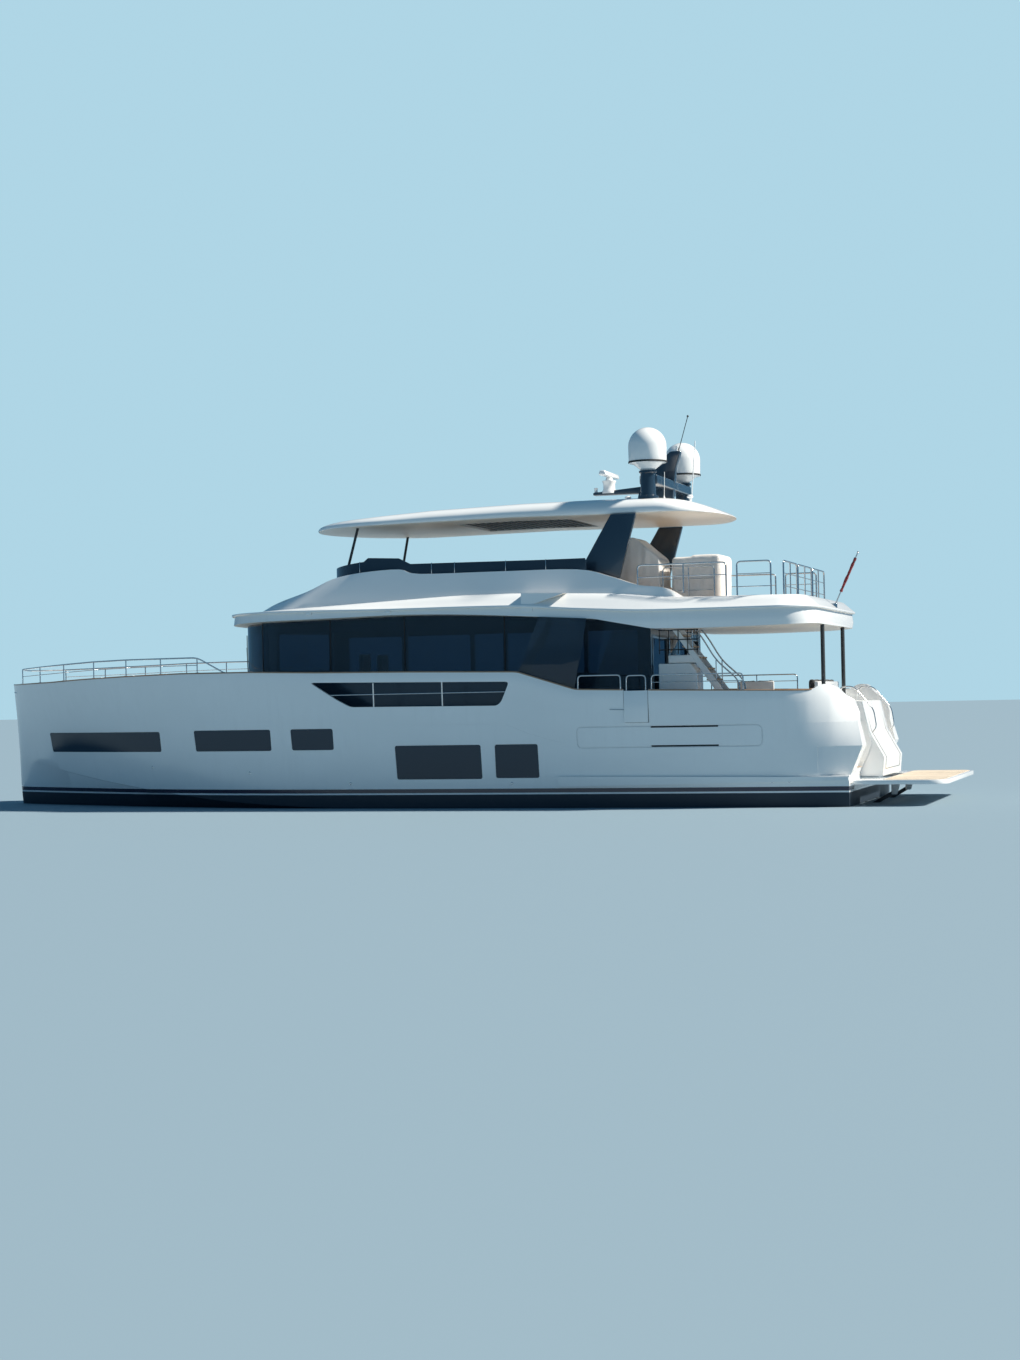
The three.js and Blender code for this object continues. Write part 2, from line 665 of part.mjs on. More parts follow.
// Flybridge: the overhang with its sloping crown, which is split at the floor into two solids.
function makeOverhang() {
  const edge = planOutline({ ...FLY_DECK, corner: 900 });
  const crown = planOutline({ ...FLY_DECK, corner: 900, inset: FLY_CROWN.inset });
  const body = loft([ringAt(edge, 4000), ringAt(edge, FLY_DECK.edgeZ), ringAt(crown, FLY_CROWN.topZ)]);
  const top = [
    [-10200, FLY_DECK.floorZ],
    [-6200, FLY_DECK.floorZ],
    [-5300, 5090],
    [-3900, 5130],
    [-2850, FLY_CROWN.topZ],
    [1000, FLY_CROWN.topZ],
    [4000, 4950],
    [6300, FLY_DECK.floorZ],
  ];
  let deck = body.intersect(sideProfile([...UNDERSIDE, ...top]));
  const fairing = [[-2930, 4700], [-2930, 5150], [-3990, 5120], [-3240, 4880], [-3200, 4700]];
  for (const [low, high] of [[3000, 3385], [-3385, -3000]]) deck = deck.add(sideProfile(fairing, low, high));
  const well = planOutline({ ...FLY_WELL, aftX: -6200 });
  deck = deck.subtract(planProfile(well, FLY_DECK.floorZ, 6000));
  return deck.subtract(block([STAIR.footX + 900, STAIR.headX], [STAIR.y0 - 30, STAIR.y1 + 30], [4000, 6000]));
}

function makeCoaming(crown) {
  const foot = planOutline(COAMING);
  const rings = [ringAt(foot, 4800), ringAt(foot, 4950), ringAt(planOutline(COAMING_TOP), 6000)];
  const topLine = [
    [6000, 4700],
    [6000, 4960],
    [3900, 5200],
    [2950, 5410],
    [2200, 5700],
    [1320, 5830],
    [370, 5870],
    [-170, 5740],
    [-4200, 5700],
    [-5200, 5500],
    [-5700, 5320],
    [-6200, 5000],
    [-6200, 4700],
  ];
  const form = loft(rings).intersect(sideProfile(topLine));
  const well = planOutline({ ...FLY_WELL, aftX: -7000 });
  return betweenHeights(form.subtract(planProfile(well, 4000, 7000)), FLY_DECK.floorZ + GAP, 7000).add(crown);
}

function makeFlyScreen(coaming) {
  const outer = planOutline({ halfWidth: 2800, aftX: -4000, ellipseX: 1000, reach: 1900 });
  const inner = planOutline({ halfWidth: 2770, aftX: -4500, ellipseX: 1000, reach: 1870 });
  const topLine = [
    [3200, 6000],
    [2100, 6050],
    [1300, 6100],
    [1280, 6200],
    [400, 6150],
    [100, 6000],
    [-3200, 5970],
    [-4000, 5970],
    [-4000, 5500],
    [3200, 5500],
  ];
  const strip = planProfile(outer, 5000, 7000).subtract(planProfile(inner, 4900, 7100));
  return seat(strip.intersect(sideProfile(topLine)), coaming);
}

function makeHardtop(coaming) {
  const plan = planOutline({ ...HARDTOP, corner: 1100 });
  const profile = [
    [3600, 7060],
    [2700, 7140],
    [1500, 7270],
    [-200, 7390],
    [-2600, 7470],
    [-4700, 7450],
    [-5900, 7430],
    [-6700, 7300],
    [-7500, 7060],
    [-6900, 7035],
    [-4700, 7030],
    [1500, 6970],
  ];
  let top = planProfile(plan, 6000, 8000).intersect(sideProfile(profile));
  top = top.subtract(block([-3600, -600], [-1300, 1300], [6900, 7080]));
  const { foot, head, radius } = FRONT_POST;
  const post = seat(rod(foot, head, radius), coaming);
  return union(top, post, mirrored(post));
}

function makeArchLeg() {
  const foot = FLY_DECK.floorZ + GAP;
  const outline = [[-4930, 7030 - GAP], [-5560, 7031 - GAP], [-4950, foot], [-3640, foot]];
  return sideProfile(outline, ...LEG_Y);
}

function makeMast() {
  const fin = [
    [-4950, 7300],
    [-5050, 7800],
    [-5350, 8150],
    [-5850, 8730],
    [-6140, 8730],
    [-6000, 8300],
    [-5900, 7300],
  ];
  const bracket = [[-3950, 7760], [-3950, 7820], [-5200, 7960], [-5200, 7860]];
  const arm = [[-5500, 7760], [-5500, 8000], [-5950, 8000], [-5950, 7760]];
  const radarBase = rod([RADAR.x, 0, 7800], [RADAR.x, 0, RADAR.z], 120, 16);
  const antenna = rod([-6050, 0, 8700], [-6320, 0, 9610], 14, 6);
  const domeBottom = DOME.baseZ - 290 - GAP;
  const pedestals = [DOME.y, -DOME.y].map((y) => rod([DOME.x, y, 7300], [DOME.x, y, domeBottom], 210, 12));
  return union(
    sideProfile(fin, -90, 90),
    sideProfile(bracket, -110, 110),
    sideProfile(arm, -DOME.y, DOME.y),
    radarBase,
    antenna,
    ...pedestals,
  );
}

function makeDome() {
  const { radius } = DOME;
  const profile = [[0, -290], [170, -290], [400, -30], [radius, 0], [radius, 300]];
  for (let i = 1; i < 5; i++) {
    const angle = (Math.PI / 10) * i;
    profile.push([radius * Math.cos(angle), 300 + radius * Math.sin(angle)]);
  }
  profile.push([0, 300 + radius]);
  return turnedShape(profile, 24);
}

function makeScanner() {
  const head = rod([0, 0, 0], [0, 0, 120], 90, 16);
  return head.add(sideProfile([[-90, 90], [-70, 210], [70, 210], [90, 90]], -650, 650));
}

// Rails
function makeBowRail() {
  const postX = [12100, 11100, 10100, 9000, 7900, 6800, 5700];
  const [endX, radius] = [4950, 19];
  const topZ = (x) => Math.min(3820, 3670 + (12250 - x) * 0.04);
  const edge = (x) => railHalfBeam(x) - 75;
  const pieces = [];
  for (const side of [1, -1]) {
    const top = postX.map((x) => [x, side * edge(x), topZ(x)]);
    const end = [endX, side * edge(endX), sheerHeight(endX) + 24];
    pieces.push(railing([[12420, 0, 3660], ...top, end], radius, 6));
    for (const x of postX) {
      pieces.push(rod([x, side * edge(x), sheerHeight(x) + 0.8], [x, side * edge(x), topZ(x)], 16, 6));
    }
  }
  return union(...pieces);
}

function makeGateRail(bulwark) {
  const [y, top, foot] = [3480, 3140, 2700];
  return seat(railing([[-4300, y, foot], [-4320, y, top], [-5390, y, top], [-5400, y, foot]], 19), bulwark);
}

function makeFlyRail() {
  const { y, forwardX, cornerX, aftX, radius } = FLY_RAIL;
  const topZ = FLY_RAIL_HEIGHTS.at(-1);
  const shortened = y - (cornerX - aftX);
  const halfRoute = (z) => [[forwardX, y, z], [cornerX, y, z], [aftX, shortened, z]];
  const otherHalf = (z) => halfRoute(z).reverse().map(([x, across, height]) => [x, -across, height]);
  const posts = [
    // x, y
    [forwardX, y],
    [-7500, y],
    [cornerX, y],
    [aftX, 1300],
    [aftX, 0],
  ];
  const pieces = FLY_RAIL_HEIGHTS.map((z) => railing([...halfRoute(z), ...otherHalf(z)], radius, 6));
  const footZ = FLY_DECK.floorZ + GAP;
  for (const [x, across] of posts) {
    pieces.push(rod([x, across, footZ], [x, across, topZ], radius + 3, 6));
    if (across > 0) pieces.push(rod([x, -across, footZ], [x, -across, topZ], radius + 3, 6));
  }
  return union(...pieces);
}

// Open treads between two stringers, with a locker under the upper ones.
function makeFlyStairs() {
  const { y0, y1, footX, headX, risers } = STAIR;
  const foot = SIDE_DECK_Z + GAP;
  const rise = (FLY_DECK.floorZ - SIDE_DECK_Z) / risers;
  const run = (headX - footX) / risers;
  const pieces = [];
  for (let i = 1; i < risers; i++) {
    const x = footX + run * (i - 0.5);
    const z = SIDE_DECK_Z + rise * i;
    pieces.push(block([x, x + run * 1.35], [y0 + 20, y1 - 20], [z - 40, z]));
  }
  const last = headX - 12;
  const stringer = [
    [footX, foot],
    [footX + 320, foot],
    [last, FLY_DECK.floorZ - 420],
    [last, FLY_DECK.floorZ - 60],
    [last - 150, FLY_DECK.floorZ - 60],
    [footX, SIDE_DECK_Z + 250],
  ];
  pieces.push(sideProfile(stringer, y0, y0 + 40));
  pieces.push(sideProfile(stringer, y1 - 40, y1));
  const locker = [[last, foot], [last, 4000], [-6400, 3900], [-6990, 3200], [-6990, foot]];
  pieces.push(sideProfile(locker, y0 + 10, y1 - 10));
  return union(...pieces);
}

// Furniture and covers
function makeForedeckLounge() {
  const plan = planOutline({ halfWidth: 1500, aftX: 6000, ellipseX: 8400, reach: 900, steps: 8 });
  return planProfile(plan, FOREDECK_Z + GAP, LOUNGE_TOP_Z);
}

function makeForedeckPad() {
  const plan = planOutline({ halfWidth: 1400, aftX: 6100, ellipseX: 8300, reach: 850, steps: 8 });
  return planProfile(plan, LOUNGE_TOP_Z + GAP, LOUNGE_TOP_Z + 140);
}

function makeHelmConsole() {
  const foot = FOREDECK_Z + GAP;
  return sideProfile([[4100, foot], [4100, 3350], [3800, 3450], [3350, 3250], [3350, foot]], -1500, 1500);
}

function makeFlyConsole() {
  const foot = FLY_DECK.floorZ + GAP;
  return sideProfile([[1650, foot], [1650, 5600], [1400, 5720], [1000, 5560], [1000, foot]], -900, 900);
}

function makeHelmSeats() {
  const outline = [[2150, 2950], [2150, 3900], [2300, 3900], [2400, 3080], [2750, 3060], [2750, 2950]];
  const plinth = block([2250, 2650], [-900, 900], [FOREDECK_Z + GAP, 2960]);
  return union(sideProfile(outline, -950, -300), sideProfile(outline, 300, 950), plinth);
}

function makeSofa(frontX, backX, yRange, baseZ, seatZ, backZ) {
  const seatBlock = block([frontX, backX], yRange, [baseZ, seatZ]);
  return seatBlock.add(block([backX, backX + 220], yRange, [baseZ, backZ]));
}

function makeCockpitTable() {
  const top = block([-8500, -7700], [-1000, 500], [2650, 2700]);
  return top.add(block([-8150, -8050], [-500, 200], [SIDE_DECK_Z + GAP, 2660]));
}

// A bench at the table's port side, its back towards the bulwark.
function makeCockpitBench() {
  const foot = SIDE_DECK_Z + GAP;
  const seatBlock = block([-8600, -7700], [700, 1260], [foot, 2400]);
  return seatBlock.add(block([-8600, -7700], [1140, 1260], [foot, 2980]));
}

// The bar's fitted cover rises to a ridge and slopes down aft.
function makeBarCover() {
  const foot = FLY_DECK.floorZ + GAP;
  const outline = [
    [-4720, foot],
    [-4830, 5900],
    [-5060, 6480],
    [-5180, 6540],
    [-5320, 6530],
    [-5950, 5980],
    [-6010, foot],
  ];
  return sideProfile(outline, 550, 1700);
}

function makeFurnitureCover() {
  const foot = FLY_DECK.floorZ + GAP;
  const outline = [[-6180, foot], [-6220, 5930], [-6480, 5950], [-6520, 6060], [-7420, 6040], [-7450, foot]];
  return sideProfile(outline, 250, 1650);
}

// The ensign is rolled against the staff, open along a groove that clears it.
function makeEnsign() {
  const { foot, head, radius } = STAFF;
  const at = (share, offset) => [
    foot[0] + (head[0] - foot[0]) * share - offset * 0.9,
    0,
    foot[2] + (head[2] - foot[2]) * share - offset * 0.42,
  ];
  const roll = rod(at(0.21, 40), at(0.9, 40), 48, 10);
  return roll.subtract(rod(at(-0.5, 0), at(1.5, 0), radius + 0.6));
}

const FINISH = {
  gelcoat: { color: 0xf2f4f5, roughness: 0.25, metalness: 0 },
  glass: { color: 0x101820, roughness: 0.08, metalness: 0 },
  navy: { color: 0x1c2c3c, roughness: 0.3, metalness: 0.1 },
  steel: { color: 0xc9ccce, roughness: 0.2, metalness: 1 },
  bronze: { color: 0xa9824a, roughness: 0.35, metalness: 1 },
  teak: { color: 0x9a7450, roughness: 0.7, metalness: 0 },
  vinyl: { color: 0xe9e6de, roughness: 0.6, metalness: 0 },
  charcoal: { color: 0x3a3d42, roughness: 0.7, metalness: 0 },
  engine: { color: 0x9aa0a2, roughness: 0.5, metalness: 0.4 },
  cloth: { color: 0xa02a2e, roughness: 0.85, metalness: 0 },
};

const scene = new THREE.Group();

function add(name, solid, finish, place = {}) {
  const mesh = new THREE.Mesh(geometryOf(solid), new THREE.MeshStandardMaterial(FINISH[finish]));
  mesh.name = name;
  mesh.position.set(...(place.position ?? [0, 0, 0]));
  mesh.rotation.set(...(place.rotation ?? [0, 0, 0]));
  (place.parent ?? scene).add(mesh);
}

// A piece of the port side and its mirror image to starboard.
function addPair(name, port, finish) {
  add(name + "_port", port, finish);
  add(name + "_starboard", mirrored(port), finish);
}

function sideways(solid, side) {
  return side > 0 ? solid : mirrored(solid);
}

const SIDES = [["port", 1], ["starboard", -1]];

// Hull, bulwarks and what hangs below
const form = hullForm();
add("hull", makeHull(form), "gelcoat");
const bulwark = makeBulwark(form);
addPair("bulwark", bulwark, "gelcoat");
addPair("bulwark_rail", makeOpeningRail(), "steel");

const soleClear = HATCH_LEDGE - 2;
const soleRange = ([low, high]) => [low - soleClear, high + soleClear];
const soleHeight = [SIDE_DECK_Z - SOLE_THICK + GAP, SIDE_DECK_Z];
add("engine_room_hatch", block(soleRange(ENGINE_ROOM.x), soleRange(ENGINE_ROOM.y), soleHeight), "teak");

const bracketShape = geometryOf(makeShaftBracket());
bracketShape.rotateY(-PROPELLER.shaftTilt);
bracketShape.translate(PROPELLER.x, PROPELLER.y, PROPELLER.z);
addPair("shaft_bracket", seat(solidOf(bracketShape), form, -GAP), "bronze");

for (const [name, side] of SIDES) {
  const engineY = [side * ENGINE.y - ENGINE.half, side * ENGINE.y + ENGINE.half];
  add("engine_" + name, block(ENGINE.x, engineY, [ENGINE_ROOM.floorZ + GAP, ENGINE.topZ]), "engine");

  const shaft = new THREE.Group();
  shaft.position.set(PROPELLER.x, side * PROPELLER.y, PROPELLER.z);
  shaft.rotation.y = -PROPELLER.shaftTilt;
  scene.add(shaft);
  add("propeller_" + name, makePropeller(), "bronze", { parent: shaft });

  const stockTop = RUDDER.topZ + RUDDER.bearing - GAP;
  add("rudder_" + name, makeRudder(), "bronze", { position: [RUDDER.x, side * RUDDER.y, stockTop] });

  const leaf = makeGateLeaf(GATE_X[1] - GATE_X[0] - 2 * GATE.clear, GATE.height);
  const gateY = side * (railHalfBeam(GATE_X[1]) - BULWARK_THICK);
  add("boarding_gate_" + name, sideways(leaf, side), "gelcoat", {
    position: [GATE_X[1] - GATE.clear, gateY, GATE_SILL_Z + GATE.lift],
  });

  const sternLeaf = makeGateLeaf(STERN_GATE.width, STERN_GATE.height);
  add("stern_gate_" + name, sideways(sternLeaf, side), "gelcoat", {
    position: [STERN_GATE.x, side * STERN_GATE.hingeY, SIDE_DECK_Z + GATE.lift],
    rotation: [0, 0, (side * Math.PI) / 2],
  });
}

add("swim_platform", makeSwimPlatform(), "teak");
add("platform_arms", makePlatformArms(), "steel", {
  position: [ARM.pivotX, 0, ARM.pivotZ],
  rotation: [0, ARM.tilt, 0],
});

// Deckhouse and its inside
const under = belowOverhang();
add("deckhouse", makeDeckhouse(under), "gelcoat");
addPair("side_glass", makeSideGlass(under), "glass");
add("windshield", makeWindshield(under), "glass");
add("aft_bulkhead", makeAftBulkhead(under), "navy");
add("saloon_door", block(DOOR_X, DOOR.y, [SIDE_DECK_Z + DOOR.lift, DOOR.topZ]), "glass");
addPair("wing_glass", makeWingGlass(under), "glass");
add("helm_console", makeHelmConsole(), "charcoal");
add("helm_seats", makeHelmSeats(), "vinyl");
add("saloon_sofa", makeSofa(-900, -3200, [1500, 2450], FOREDECK_Z + GAP, 2850, 3200), "vinyl");

// Flybridge, hardtop and mast
const overhang = makeOverhang();
const flyDeck = betweenHeights(overhang, 4000, FLY_DECK.floorZ);
add("flybridge_deck", flyDeck, "gelcoat");
const coaming = makeCoaming(betweenHeights(overhang, FLY_DECK.floorZ + GAP, 6000));
add("flybridge_coaming", coaming, "gelcoat");
add("flybridge_screen", makeFlyScreen(coaming), "glass");
const hardtop = makeHardtop(coaming);
add("hardtop", hardtop, "gelcoat");
addPair("arch_leg", makeArchLeg(), "navy");
add("mast", seat(makeMast(), hardtop), "navy");
for (const [name, side] of SIDES) {
  add("satellite_dome_" + name, makeDome(), "gelcoat", { position: [DOME.x, side * DOME.y, DOME.baseZ] });
}
add("radar_scanner", makeScanner(), "gelcoat", { position: [RADAR.x, 0, RADAR.z + GAP] });
add("flybridge_console", makeFlyConsole(), "charcoal");
add("flybridge_sofa", makeSofa(-1600, -3400, [-2450, -900], FLY_DECK.floorZ + GAP, 5300, 5600), "vinyl");
add("bar_cover", makeBarCover(), "vinyl");
add("furniture_cover", makeFurnitureCover(), "vinyl");

// Rails, stairs, staff and deck furniture
add("bow_rail", makeBowRail(), "steel");
addPair("gate_rail", makeGateRail(bulwark), "steel");
add("flybridge_rail", makeFlyRail(), "steel");
add("flybridge_stairs", makeFlyStairs(), "teak");
add("flagstaff", seat(rod(STAFF.foot, STAFF.head, STAFF.radius), flyDeck), "steel");
add("ensign", makeEnsign(), "cloth");
add("foredeck_lounge", makeForedeckLounge(), "gelcoat");
add("foredeck_pad", makeForedeckPad(), "vinyl");
add("foredeck_hatch", block([-2 * HATCH.half, 0], [-HATCH.half, HATCH.half], [0, HATCH.lid]), "glass", {
  position: [HATCH.x + HATCH.half, 0, FOREDECK_Z + HATCH.coaming + GAP],
});
add("cockpit_sofa", makeSofa(-9100, -9700, [-1500, 1400], SIDE_DECK_Z + GAP, 2400, 2980), "charcoal");
add("cockpit_table", makeCockpitTable(), "teak");
add("cockpit_bench", makeCockpitBench(), "charcoal");
const overhangPost = rod([-9830, 1440, SIDE_DECK_Z + GAP], [-9830, 1440, 5000], 50, 12);
addPair("overhang_post", overhangPost.intersect(under), "steel");

export default scene;
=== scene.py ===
# %% [markdown]
# # A motor yacht, dressed around its CAD frame
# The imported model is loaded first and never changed. Each visible part of the boat is then either a CAD node
# with a better material, or a finer piece that stands for that node. Everything is in metres, with +X to the
# bow, +Y to port and the waterline at Z = 0.

# %% Load the frame
import math

import bmesh
import bpy
from mathutils import Matrix, Vector, noise


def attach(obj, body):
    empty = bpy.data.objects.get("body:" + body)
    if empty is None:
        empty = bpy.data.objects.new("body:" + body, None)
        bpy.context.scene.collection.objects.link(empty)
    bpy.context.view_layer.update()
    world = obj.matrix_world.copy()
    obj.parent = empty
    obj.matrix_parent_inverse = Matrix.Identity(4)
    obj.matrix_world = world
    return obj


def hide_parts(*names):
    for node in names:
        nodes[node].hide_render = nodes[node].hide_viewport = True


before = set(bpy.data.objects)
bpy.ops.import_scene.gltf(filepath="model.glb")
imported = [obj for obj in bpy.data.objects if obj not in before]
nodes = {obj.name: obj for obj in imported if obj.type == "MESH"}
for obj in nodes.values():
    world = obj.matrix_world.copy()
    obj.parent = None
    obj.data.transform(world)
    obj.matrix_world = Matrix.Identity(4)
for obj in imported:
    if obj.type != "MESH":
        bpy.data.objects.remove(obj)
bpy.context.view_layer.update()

# %% [markdown]
# The photograph was taken from the port side, a little abaft the beam, from just above the water. The camera's
# place was solved from the waterline, the deck edge and the boat's beam, so it is written here as numbers. It
# comes first, because every later choice is judged through it.

# %% Camera
CAMERA_PLACE = Vector((-18.771, 52.442, 2.667))
CAMERA_YAW, CAMERA_PITCH, CAMERA_ROLL = 0.318, 0.008, 0.020
FOCAL_PIXELS, PHOTO_HEIGHT, SENSOR, SIGHT = 2154.5, 1360, 36.0, 600


def add_camera():
    flat = math.cos(CAMERA_PITCH)
    forward = Vector((math.sin(CAMERA_YAW) * flat, -math.cos(CAMERA_YAW) * flat, math.sin(CAMERA_PITCH)))
    level = forward.cross(Vector((0, 0, 1))).normalized()
    upright = level.cross(forward)
    right = math.cos(CAMERA_ROLL) * level - math.sin(CAMERA_ROLL) * upright
    up = math.sin(CAMERA_ROLL) * level + math.cos(CAMERA_ROLL) * upright
    camera = bpy.data.objects.new("camera", bpy.data.cameras.new("camera"))
    bpy.context.scene.collection.objects.link(camera)
    camera.matrix_world = Matrix.Translation(CAMERA_PLACE) @ Matrix((right, up, -forward)).transposed().to_4x4()
    camera.data.sensor_width = SENSOR
    camera.data.lens = FOCAL_PIXELS * SENSOR / PHOTO_HEIGHT
    camera.data.clip_end = SIGHT
    bpy.context.scene.camera = camera
    return camera


camera = add_camera()
print("camera lens, mm:", round(camera.data.lens, 2))

# %% [markdown]
# A shader node group is a small machine with named sockets. Several finishes need the same things, such as the
# faint ripple of a moulded surface or the lines of a laid deck, so each is built once and placed in every
# material that uses it. A group gives out colours, roughness and normals, while the Principled shader stays in
# the material itself.

# %% Helpers for node groups and materials
def new_group(name, inputs, outputs):
    tree = bpy.data.node_groups.new(name, "ShaderNodeTree")
    for label, kind, value in inputs:
        socket = tree.interface.new_socket(name=label, in_out="INPUT", socket_type=kind)
        socket.default_value = value
    for label, kind in outputs:
        tree.interface.new_socket(name=label, in_out="OUTPUT", socket_type=kind)
    return tree, tree.nodes.new("NodeGroupInput"), tree.nodes.new("NodeGroupOutput")


def add_node(tree, kind, settings=None, **values):
    node = tree.nodes.new("ShaderNode" + kind)
    for key, value in (settings or {}).items():
        setattr(node, key, value)
    for key, value in values.items():
        socket = node.inputs[int(key[1:]) if key[0] == "i" and key[1:].isdigit() else key.replace("_", " ")]
        if isinstance(value, bpy.types.NodeSocket):
            tree.links.new(value, socket)
        else:
            socket.default_value = value
    return node


def scaled_place(tree, scale):
    """Object coordinates, stretched along each axis by scale."""
    coordinates = add_node(tree, "TexCoord")
    return add_node(tree, "Mapping", i0=coordinates.outputs["Object"], i3=scale).outputs[0]


def noise_at(tree, scale, detail, rough=0.55):
    place = scaled_place(tree, scale)
    return add_node(tree, "TexNoise", i0=place, Scale=1.0, Detail=detail, Roughness=rough).outputs[0]


def remap(tree, value, low, high, to_low=0.0, to_high=1.0):
    return add_node(tree, "MapRange", i0=value, i1=low, i2=high, i3=to_low, i4=to_high).outputs[0]


def mix_colour(tree, share, first, second):
    return add_node(tree, "Mix", {"data_type": "RGBA"}, i0=share, i6=first, i7=second).outputs[2]


def combined(tree, first, second, operation="MULTIPLY"):
    """Two values multiplied, or put together by another operation."""
    return add_node(tree, "Math", {"operation": operation}, i0=first, i1=second).outputs[0]


def toned(tree, given, value, saturation):
    """The finish's own colour, made darker or paler."""
    return add_node(
        tree, "HueSaturation", Value=value, Saturation=saturation, Color=given.outputs["Color"]).outputs[0]


def plug_in(tree, finish, shader):
    for source, target in (("Color", "Base Color"), ("Roughness", "Roughness"), ("Normal", "Normal")):
        tree.links.new(finish.outputs[source], shader.inputs[target])


def new_material(name):
    material = bpy.data.materials.new(name)
    material.use_nodes = True
    return material, material.node_tree, material.node_tree.nodes["Principled BSDF"]


COLOUR, NUMBER, DIRECTION = "NodeSocketColor", "NodeSocketFloat", "NodeSocketVector"
FINISH_OUT = [("Color", COLOUR), ("Roughness", NUMBER), ("Normal", DIRECTION)]


def finish_in(colour, roughness, *more):
    return [("Color", COLOUR, colour), ("Roughness", NUMBER, roughness), *more]


def give_out(tree, out, colour, roughness, height, distance):
    bump = add_node(tree, "Bump", Strength=1.0, Distance=distance, Height=height)
    for label, value in (("Color", colour), ("Roughness", roughness), ("Normal", bump.outputs[0])):
        tree.links.new(value, out.inputs[label])
    return tree


print("node helpers ready")

# %% [markdown]
# Gelcoat and paint are sprayed or moulded surfaces. Close up they have an orange-peel ripple, further off the panels
# wave slightly, and outdoors they carry faint dust and upright run marks. The streaks come from a noise that is
# squeezed along X and stretched along Z.

# %% Group: moulded surface
def make_moulded_group():
    inputs = finish_in((0.9, 0.9, 0.9, 1), 0.25, ("Grime", NUMBER, 0.1), ("Ripple", NUMBER, 0.3))
    tree, given, out = new_group("moulded_surface", inputs, FINISH_OUT)
    streaks = remap(tree, noise_at(tree, (5.0, 5.0, 0.45), 6.0, 0.65), 0.42, 0.78)
    patches = remap(tree, noise_at(tree, (0.5, 0.5, 0.9), 3.0), 0.35, 0.75)
    dirt = combined(tree, combined(tree, streaks, patches, "MAXIMUM"), given.outputs["Grime"])
    dusty = toned(tree, given, 0.55, 1.25)
    colour = mix_colour(tree, dirt, given.outputs["Color"], dusty)
    rough = combined(tree, combined(tree, dirt, 0.5), given.outputs["Roughness"], "ADD")
    peel = combined(tree, noise_at(tree, (420, 420, 420), 1.0), 0.03)
    waves = noise_at(tree, (0.8, 0.8, 1.3), 1.0)
    height = combined(tree, combined(tree, peel, waves, "ADD"), given.outputs["Ripple"])
    return give_out(tree, out, colour, rough, height, 0.02)


# %% [markdown]
# Teak decks are narrow planks with black caulked seams. The seam is where the fraction of Y over the plank's
# width is near its end, each plank takes its own tone from a white noise of its number, and the grain is a
# noise that is pulled long along X.

# %% Group: laid planks
CAULK_COLOUR = (0.015, 0.015, 0.016, 1)


def make_plank_group():
    inputs = finish_in((0.5, 0.36, 0.24, 1), 0.6, ("Width", NUMBER, 0.055), ("Seam", NUMBER, 0.1))
    tree, given, out = new_group("laid_planks", inputs, FINISH_OUT)
    place = add_node(tree, "TexCoord").outputs["Object"]
    across = add_node(tree, "SeparateXYZ", i0=place).outputs[1]
    count = combined(tree, across, given.outputs["Width"], "DIVIDE")
    number = add_node(tree, "Math", {"operation": "FLOOR"}, i0=count).outputs[0]
    inside = add_node(tree, "Math", {"operation": "FRACT"}, i0=count).outputs[0]
    seam = combined(tree, inside, given.outputs["Seam"], "LESS_THAN")
    tone = add_node(tree, "TexWhiteNoise", {"noise_dimensions": "1D"}, W=number).outputs[0]
    grain = noise_at(tree, (3.0, 160, 160), 5.0, 0.7)
    shade = combined(tree, combined(tree, tone, 0.35), combined(tree, grain, 0.65), "ADD")
    pale = toned(tree, given, 1.35, 0.8)
    dark = toned(tree, given, 0.62, 1.1)
    wood = mix_colour(tree, remap(tree, shade, 0.25, 0.75), dark, pale)
    colour = mix_colour(tree, seam, wood, CAULK_COLOUR)
    rough = combined(tree, given.outputs["Roughness"], combined(tree, grain, 0.15), "ADD")
    height = combined(tree, combined(tree, grain, 0.3), seam, "SUBTRACT")
    return give_out(tree, out, colour, rough, height, 0.002)


# %% [markdown]
# Cloth and leather-like covers need a weave or grain at thread scale, and slow folds of tone at hand scale. Two
# crossed wave textures give the threads. Polished and cast metals need long fine scratches instead, which are a
# noise pulled out along one axis.

# %% Groups: woven cloth and worked metal
def make_weave_group():
    inputs = finish_in((0.8, 0.8, 0.8, 1), 0.8, ("Threads", NUMBER, 300.0), ("Fade", NUMBER, 0.3))
    tree, given, out = new_group("woven_cloth", inputs, FINISH_OUT)
    place = add_node(tree, "TexCoord").outputs["Object"]
    threads = []
    for direction in ("X", "Z"):
        bands = {"wave_type": "BANDS", "bands_direction": direction}
        wave = add_node(tree, "TexWave", bands, Vector=place, Scale=given.outputs["Threads"], Distortion=0.6)
        threads.append(wave.outputs[1])
    weave = combined(tree, *threads, "ADD")
    fade = combined(tree, remap(tree, noise_at(tree, (3, 3, 3), 5.0), 0.35, 0.7), given.outputs["Fade"])
    worn = toned(tree, given, 0.7, 0.9)
    colour = mix_colour(tree, fade, given.outputs["Color"], worn)
    rough = combined(tree, given.outputs["Roughness"], combined(tree, weave, 0.05), "ADD")
    height = combined(tree, combined(tree, weave, 0.25), noise_at(tree, (9, 9, 9), 3.0), "ADD")
    return give_out(tree, out, colour, rough, height, 0.006)


